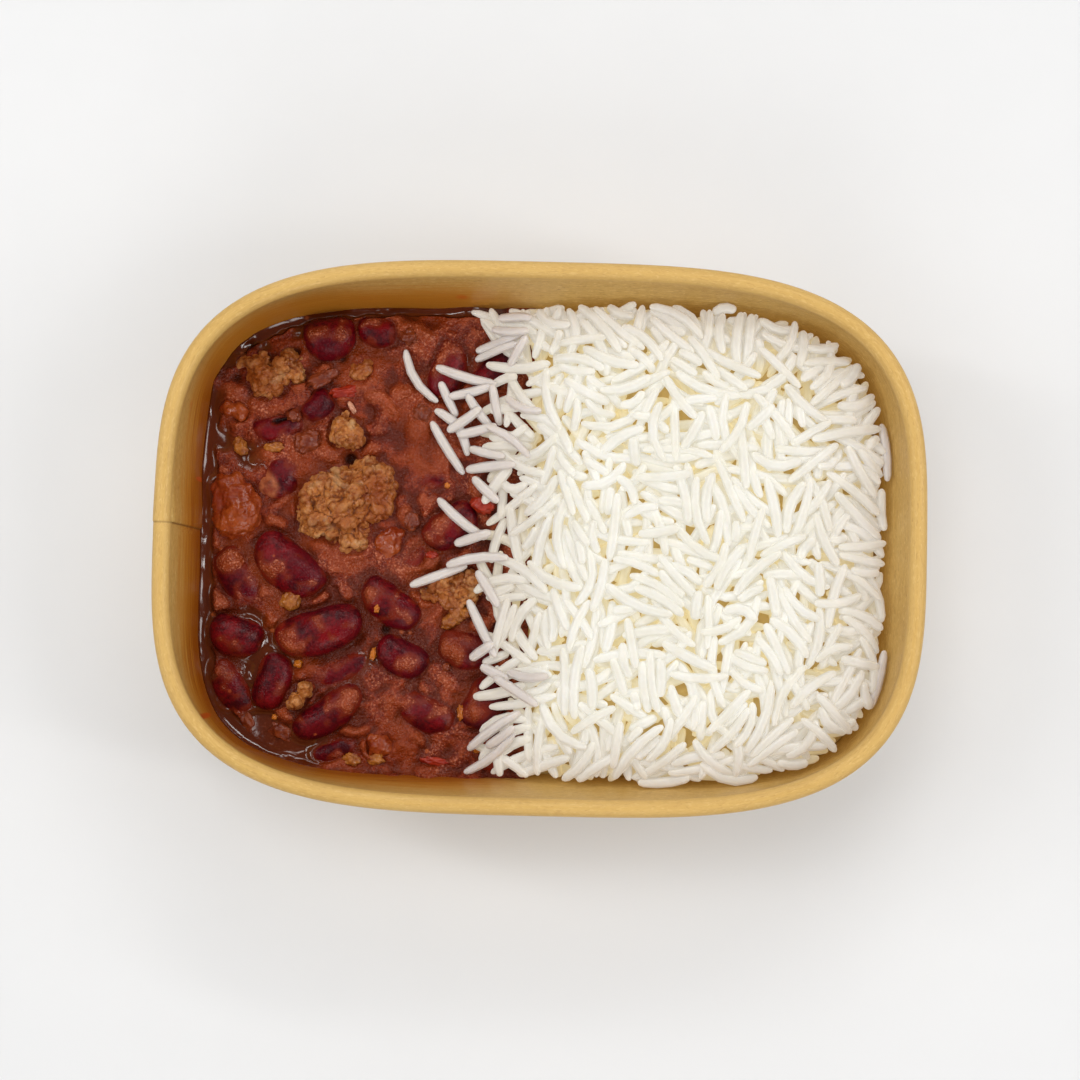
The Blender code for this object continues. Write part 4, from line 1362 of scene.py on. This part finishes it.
# single grains that lie out on the chili: x, y, turn in degrees, length
strayGrains = (
    (-28.2, 37.8, -57, 14.2), (-17.9, 37.9, -15, 14.5), (-21.9, 32.5, -63, 8.7), (-16.9, 34.2, 14, 9.9),
    (-21.1, 24.7, -53, 12.9), (-21.8, 21.2, -57, 14.2), (-14.7, 29.8, -52, 9.3), (-18.1, 27.8, 36, 9.4),
    (-10.8, 31.1, -77, 9.1), (-15.1, 25.3, 14, 9.4), (-7.8, 22.5, -36, 12.5), (-12.6, 20.2, -13, 8.4),
    (-11.7, 16.7, 6, 11.5), (-10.0, 45.9, 19, 12.4), (-10.9, 43.4, 18, 10.6), (-8.0, 48.2, -4, 8.5),
    (-7.0, 50.9, 1, 7.6), (-6.1, 43.4, 60, 7.6), (-4.4, 31.3, -23, 9.0), (-18.0, 4.9, -39, 14.6),
    (-15.4, 0.3, 18, 8.8), (-12.7, 11.6, -44, 8.4), (-23.1, -8.3, 21, 13.9), (-14.2, -5.1, 8, 14.3),
    (-11.7, -11.2, -58, 9.6), (-12.8, -20.2, -63, 14.6), (-12.6, -25.5, 35, 6.5), (-9.6, -30.3, -26, 7.2),
    (-4.7, -34.4, -32, 11.8), (-9.4, -43.5, 37, 14.8), (-10.4, -48.4, 40, 14.8), (-8.0, -44.7, 38, 7.9),
    (-2.0, -30.3, -5, 9.2),
)
# grains that lean on the wall: both ends
wallGrains = (((77.2, 28.4, 41.6), (78.5, 15.2, 43.2)), ((75.4, -36.4, 42.0), (78.3, -23.2, 43.6)))
riceStep = 0.5
riceX = np.arange(-42, 82, riceStep)
riceY = np.arange(-58, 58, riceStep)


def riceHeight(x, y):
    reach = np.minimum(1, reachAt(x, y, rice["rimLevel"]))
    dome = rice["rimLevel"] + (rice["crown"] - rice["rimLevel"]) * (1 - reach**4)
    bank = smoothStep(rice["edge"], rice["edge"] + 22, x)
    uneven = 0.9 * swell(x, y, 10, 21) * (0.4 + 0.6 * bank)
    return rice["fringeLevel"] + (dome - rice["fringeLevel"]) * bank + uneven


# 1 in the outskirts of the heap, 0 in its middle
def riceMargin(x, y):
    border = smoothStep(0.66, 1.0, reachAt(x, y, rice["rimLevel"]))
    return np.maximum(border, smoothStep(rice["edge"] + 16, rice["edge"], x))


def makeRiceFinish(name):
    light, dark, deep, glow, deepGlow = (shade(*colour) for colour in riceColours[name])
    finish, tree, shader = startMaterial(
        name, light, subsurfaceWeight=0.8, subsurfaceScale=2.0 * mm, subsurfaceRadius=(1.0, 0.9, 0.7),
        specularIorLevel=0.3, emissionStrength=1.0,
    )
    place = objectPlace(tree)
    tone = mottled(tree, place, light, dark, 130.0, 900.0, 0.3, 0.6)
    depth = readNumbers(tree, "depth")
    # grains lying deeper under the heap's outline take the deep colour: painted shade in the gaps
    colour = tinted(tree, tone, depth, 0.6, 4.5, 0.85, deep)
    # the outskirts are a little darker than the middle
    margin = readNumbers(tree, "margin")
    colour = mixColours(tree, margin, colour, rice["marginTint"], "MULTIPLY")
    # painted glow (emission) in place of light passed through and between neighbouring grains, stronger deeper down
    paintedGlow = mixColours(tree, between(tree, depth, 0.3, 3.6), glow, deepGlow)
    paintedGlow = mixColours(tree, margin, paintedGlow, rice["marginTint"], "MULTIPLY")
    rough, _ = glossOf(tree, place, 300.0, 0.32, 0.5)
    relief = reliefOf(tree, place, 500.0, 2200.0, 0.3)
    driveShader(tree, shader, colour, rough, relief, 0.3, 0.12, emissionColor=paintedGlow)
    return finish


# a path swept as a grain, whose thickness is given along it
def makeGrainTree():
    tree, sockets, given = startShapeTree("Rice Grain Sweep", {"Sides": "Int", "Plumpness": "Float"})
    paths = addNode(tree, "GeometryNodeMeshToCurve", {"Mesh": given["Geometry"]}).outputs[0]
    named = {"Name": "thickness"}
    thickness = addNode(tree, "GeometryNodeInputNamedAttribute", named, data_type="FLOAT").outputs[0]
    circle = {"Resolution": given["Sides"], "Radius": 1.0}
    section = addNode(tree, "GeometryNodeCurvePrimitiveCircle", circle).outputs[0]
    radius = times(tree, thickness, given["Plumpness"])
    along = {"Curve": paths, "Profile Curve": section, "Scale": radius, "Fill Caps": True}
    swept = addNode(tree, "GeometryNodeCurveToMesh", along).outputs[0]
    smooth = addNode(tree, "GeometryNodeSetShadeSmooth", {"Geometry": swept}).outputs[0]
    endShapeTree(tree, smooth, given["Finish"])
    return tree, sockets


# positions along a grain and how thick it is there
grainAlong = np.array((-1, -0.95, -0.8, -0.3, 0.25, 0.78, 0.95, 1)) * 0.5
grainThick = np.array((0.28, 0.58, 0.86, 1.0, 0.98, 0.84, 0.56, 0.26))


# a field read at places, in whole cells
def readCells(field, x, y):
    column = np.clip(np.round((x - riceX[0]) / riceStep).astype(int), 0, len(riceX) - 1)
    row = np.clip(np.round((y - riceY[0]) / riceStep).astype(int), 0, len(riceY) - 1)
    return field[column, row]


# lays one grain on the ground as a rod that rests on two high points, and lets its ends sag
def layGrain(ground, x, y, turn, length, radius, bow, steepest, sag=0.65):
    along = np.linspace(-0.5, 0.5, 13)
    side = bow * length * (0.25 - along**2) * 4
    pathX = x + along * length * math.cos(turn) - side * math.sin(turn)
    pathY = y + along * length * math.sin(turn) + side * math.cos(turn)
    offX, offY = -math.sin(turn) * radius * 0.6, math.cos(turn) * radius * 0.6
    heights = np.max([readCells(ground, pathX + k * offX, pathY + k * offY) for k in (-1, 0, 1)], axis=0)
    left, right = along[:7, None], along[None, 6:]
    span = np.where(right - left < 1e-6, np.inf, right - left)
    crossing = (heights[:7, None] * right - heights[None, 6:] * left) / span
    crossing[6, 0] = heights[6]
    i, j = np.unravel_index(crossing.argmax(), crossing.shape)
    slope = 0.0 if (i, j) == (6, 0) else (heights[6 + j] - heights[i]) / ((along[6 + j] - along[i]) * length)
    if abs(slope) > steepest:
        return None
    line = crossing[i, j] + slope * along * length
    rest = line - sag * np.clip(line - heights, 0, 2.5)
    rest = np.convolve(np.pad(rest, 2, mode="edge"), np.ones(5) / 5, mode="valid")
    rest = np.maximum(rest, heights - 0.4 * radius)
    return pathX, pathY, rest + radius * 0.7


diskReach = np.arange(-3, 4) * riceStep
diskX, diskY = (part.ravel() for part in np.meshgrid(diskReach, diskReach))


# raises the ground where a grain has been laid
def stampGrain(ground, path, radius):
    fine = np.linspace(0, len(path[0]) - 1, 3 * len(path[0]))
    pathX, pathY, pathZ = (np.interp(fine, np.arange(len(path[0])), part) for part in path)
    x, y = pathX[:, None] + diskX, pathY[:, None] + diskY
    column = np.clip(np.round((x - riceX[0]) / riceStep).astype(int), 0, len(riceX) - 1)
    row = np.clip(np.round((y - riceY[0]) / riceStep).astype(int), 0, len(riceY) - 1)
    offset = (riceX[column] - pathX[:, None]) ** 2 + (riceY[row] - pathY[:, None]) ** 2
    reach = (rice["snug"] * radius) ** 2
    top = pathZ[:, None] + np.sqrt(np.maximum(reach - offset, 0))
    np.maximum.at(ground, (column, row), np.where(offset <= reach, top, -100))


def fillWithGrains(ground, target):
    rng = np.random.default_rng(rice["seed"])
    cornerX, cornerY = np.array((1, -1, 1, -1)), np.array((1, -1, -1, 1))
    grains = []
    ragged = rice["edge"] + 4.5 * swell(np.zeros((1, len(riceY))), riceY[None], 9, 31)
    wanted = (riceX[:, None] > ragged) & (reachAt(riceX[:, None], riceY[None], rice["rimLevel"]) < 1)
    misses = 0
    while len(grains) < rice["grains"] and misses < rice["patience"]:
        misses += 1
        x = rng.uniform(rice["edge"] - 2, 78, rice["drawn"])
        y = rng.uniform(-55, 55, rice["drawn"])
        need = np.where(readCells(wanted, x, y), readCells(target - ground, x, y), -99)
        pick = need.argmax()
        if need[pick] < -0.4:
            continue
        length = rng.uniform(*rice["length"]) * (rice["broken"] if rng.random() < rice["brokenShare"] else 1)
        if misses > rice["patience"] / 4:
            length *= rice["filler"]
        radius = rng.uniform(*rice["radius"])
        bow = rng.normal(0, rice["bow"] * 0.6)
        best, lowest = None, rice["proud"]
        for turn in rng.uniform(-math.pi, math.pi, rice["tries"]):
            if x[pick] < rice["edge"] + 8:
                turn = rng.normal(math.pi, 0.75)
            # a grain that would cross the wall is pushed in along its own direction from the middle
            reachX, reachY = abs(length / 2 * math.cos(turn)), abs(length / 2 * math.sin(turn))
            spot = np.array((x[pick], y[pick]))
            for _ in range(6):
                if reachAt(spot[0] + reachX * cornerX, spot[1] + reachY * cornerY, rice["wallLevel"]).max() < 0.98:
                    break
                spot = spot * 0.97
            path = layGrain(ground, spot[0], spot[1], turn, length, radius, bow, rice["steepest"])
            if path is None or reachAt(path[0], path[1], path[2] - radius).max() > rice["wallReach"]:
                continue
            over = (path[2] - readCells(target, path[0], path[1])).max()
            if over < lowest:
                best, lowest = path, over
        if best is None:
            continue
        stampGrain(ground, best, radius)
        grains.append((best, radius))
        misses = 0
    return grains


# the paths of many grains as one mesh of edges, swept by the node tree
def sweepGrains(name, grains, tree, sockets, finish, target):
    points, thickness, depths, edges = [], [], [], []
    for (pathX, pathY, pathZ), radius in grains:
        share = (grainAlong + 0.5) * (len(pathX) - 1)
        steps = np.arange(len(pathX))
        path = np.column_stack([np.interp(share, steps, part) for part in (pathX, pathY, pathZ)])
        first = len(points)
        points += path.tolist()
        thickness += (grainThick * radius).tolist()
        deep = readCells(target, path[:, 0], path[:, 1]) - path[:, 2]
        depths += deep.tolist()
        edges += [(first + k, first + k + 1) for k in range(len(path) - 1)]
    piece = addPiece(name, points, [], finish, edges)
    mesh = piece.data
    setNumbers(mesh, "thickness", np.array(thickness) * mm)
    setNumbers(mesh, "depth", depths)
    margin = riceMargin(*np.array(points)[:, :2].T) if name == "rice_grains" else np.zeros(len(points))
    setNumbers(mesh, "margin", margin)
    modifier = piece.modifiers.new("grains", "NODES")
    modifier.node_group = tree
    modifier[sockets["Sides"]] = rice["sides"]
    modifier[sockets["Plumpness"]] = 1.0
    modifier[sockets["Finish"]] = finish
    applyModifiers(piece)
    piece.data.materials.clear()
    piece.data.materials.append(finish)
    return piece


def makeRiceCore(finish):
    columns, rows = 120, 160
    u = np.linspace(-6 / innerHalf(33)[0], 1, columns)[:, None]
    v = np.linspace(-1, 1, rows)[None]
    u, v = np.broadcast_arrays(u, v)
    x, y = spreadAcross(u, v, rice["coreOutline"])
    top = riceHeight(x, y) - rice["bed"] + 0.5 * swell(x, y, 2.2, 23) + 0.25 * swell(x, y, 1.1, 24)
    top = np.where(x < 4, np.minimum(top, 31 + (x + 6) * 0.9), top)
    top -= 5 * smoothStep(0.86, 1.0, reachAt(x, y, 36.0))
    top = np.maximum(top, rice["coreLowest"])
    core = makeFoodBlock("rice_core", u, v, x, y, top, (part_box("rice_heap")[0] / mm).z, finish)
    # the core takes the full deep colour: painted shade between the grains
    setNumbers(core.data, "depth", np.full(len(core.data.vertices), 5.0))
    setNumbers(core.data, "margin", riceMargin(*getPoints(core.data)[:, :2].T))
    return core


riceFinish, looseFinish, coreFinish = (makeRiceFinish(name) for name in riceColours)
riceCore = makeRiceCore(coreFinish)
grainTree, grainSockets = makeGrainTree()
gridX, gridY = np.meshgrid(riceX, riceY, indexing="ij")
under = [sauceBody, riceCore, *beans.values(), *minces.values(), *tomatoes.values(), *smallPieces.values()]
ground = topsAt(sunTree(under), gridX, gridY, 30.0)
target = riceHeight(gridX, gridY)
grains = fillWithGrains(ground, target)
riceGrains = sweepGrains("rice_grains", grains, grainTree, grainSockets, riceFinish, target)
print("rice grains laid:", len(grains))

strayRng = np.random.default_rng(3)
strays = []
for start, end in wallGrains:
    share = np.linspace(0, 1, 13)
    path = [a + (b - a) * share + arch * share * (1 - share) for a, b, arch in zip(start, end, (1.6, 0, 1.2))]
    strays.append((path, 1.1))
for x, y, turn, length in strayGrains:
    radius = strayRng.uniform(1.04, 1.24)
    path = layGrain(ground, x, y, math.radians(turn), length, radius, strayRng.normal(0, 0.05), 2.0, 0.5)
    stampGrain(ground, path, radius)
    strays.append((path, radius))
lowTarget = np.full_like(target, 30.0)
looseGrains = sweepGrains("loose_rice_grains", strays, grainTree, grainSockets, looseFinish, lowTarget)
print("loose grains laid:", len(strays))


# What rides where, and what stands for what.

pieceRoles = [(tubWall, "kraft_board", ["tub_wall"]), (tubBase, "kraft_board", ["tub_base"])]
pieceRoles += [(bean, "kidney_bean", [node]) for node, bean in beans.items()]
pieceRoles += [(clump, "mince", [node]) for node, clump in minces.items()]
pieceRoles += [(clump, "tomato", [node]) for node, clump in tomatoes.items()]
pieceRoles += [(sauceBody, "chili_sauce", ["chili_sauce"]), (riceCore, "rice", ["rice_heap"])]
pieceRoles += [(riceGrains, "rice", []), (looseGrains, "rice", [])]
smallSlots = {
    "pepper_strips": "tomato",
    "golden_nuggets": "mince",
    "amber_seeds": "tomato",
    "sauced_lumps": "chili_sauce",
    "pale_bits": "mince",
}
pieceRoles += [(piece, smallSlots[kind], []) for kind, piece in smallPieces.items()]
for piece, slot, nodes in pieceRoles:
    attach(piece, "root")
    if nodes:
        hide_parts(*nodes)

print("triangles in all:", sum(len(p.vertices) - 2 for piece, _, _ in pieceRoles for p in piece.data.polygons))
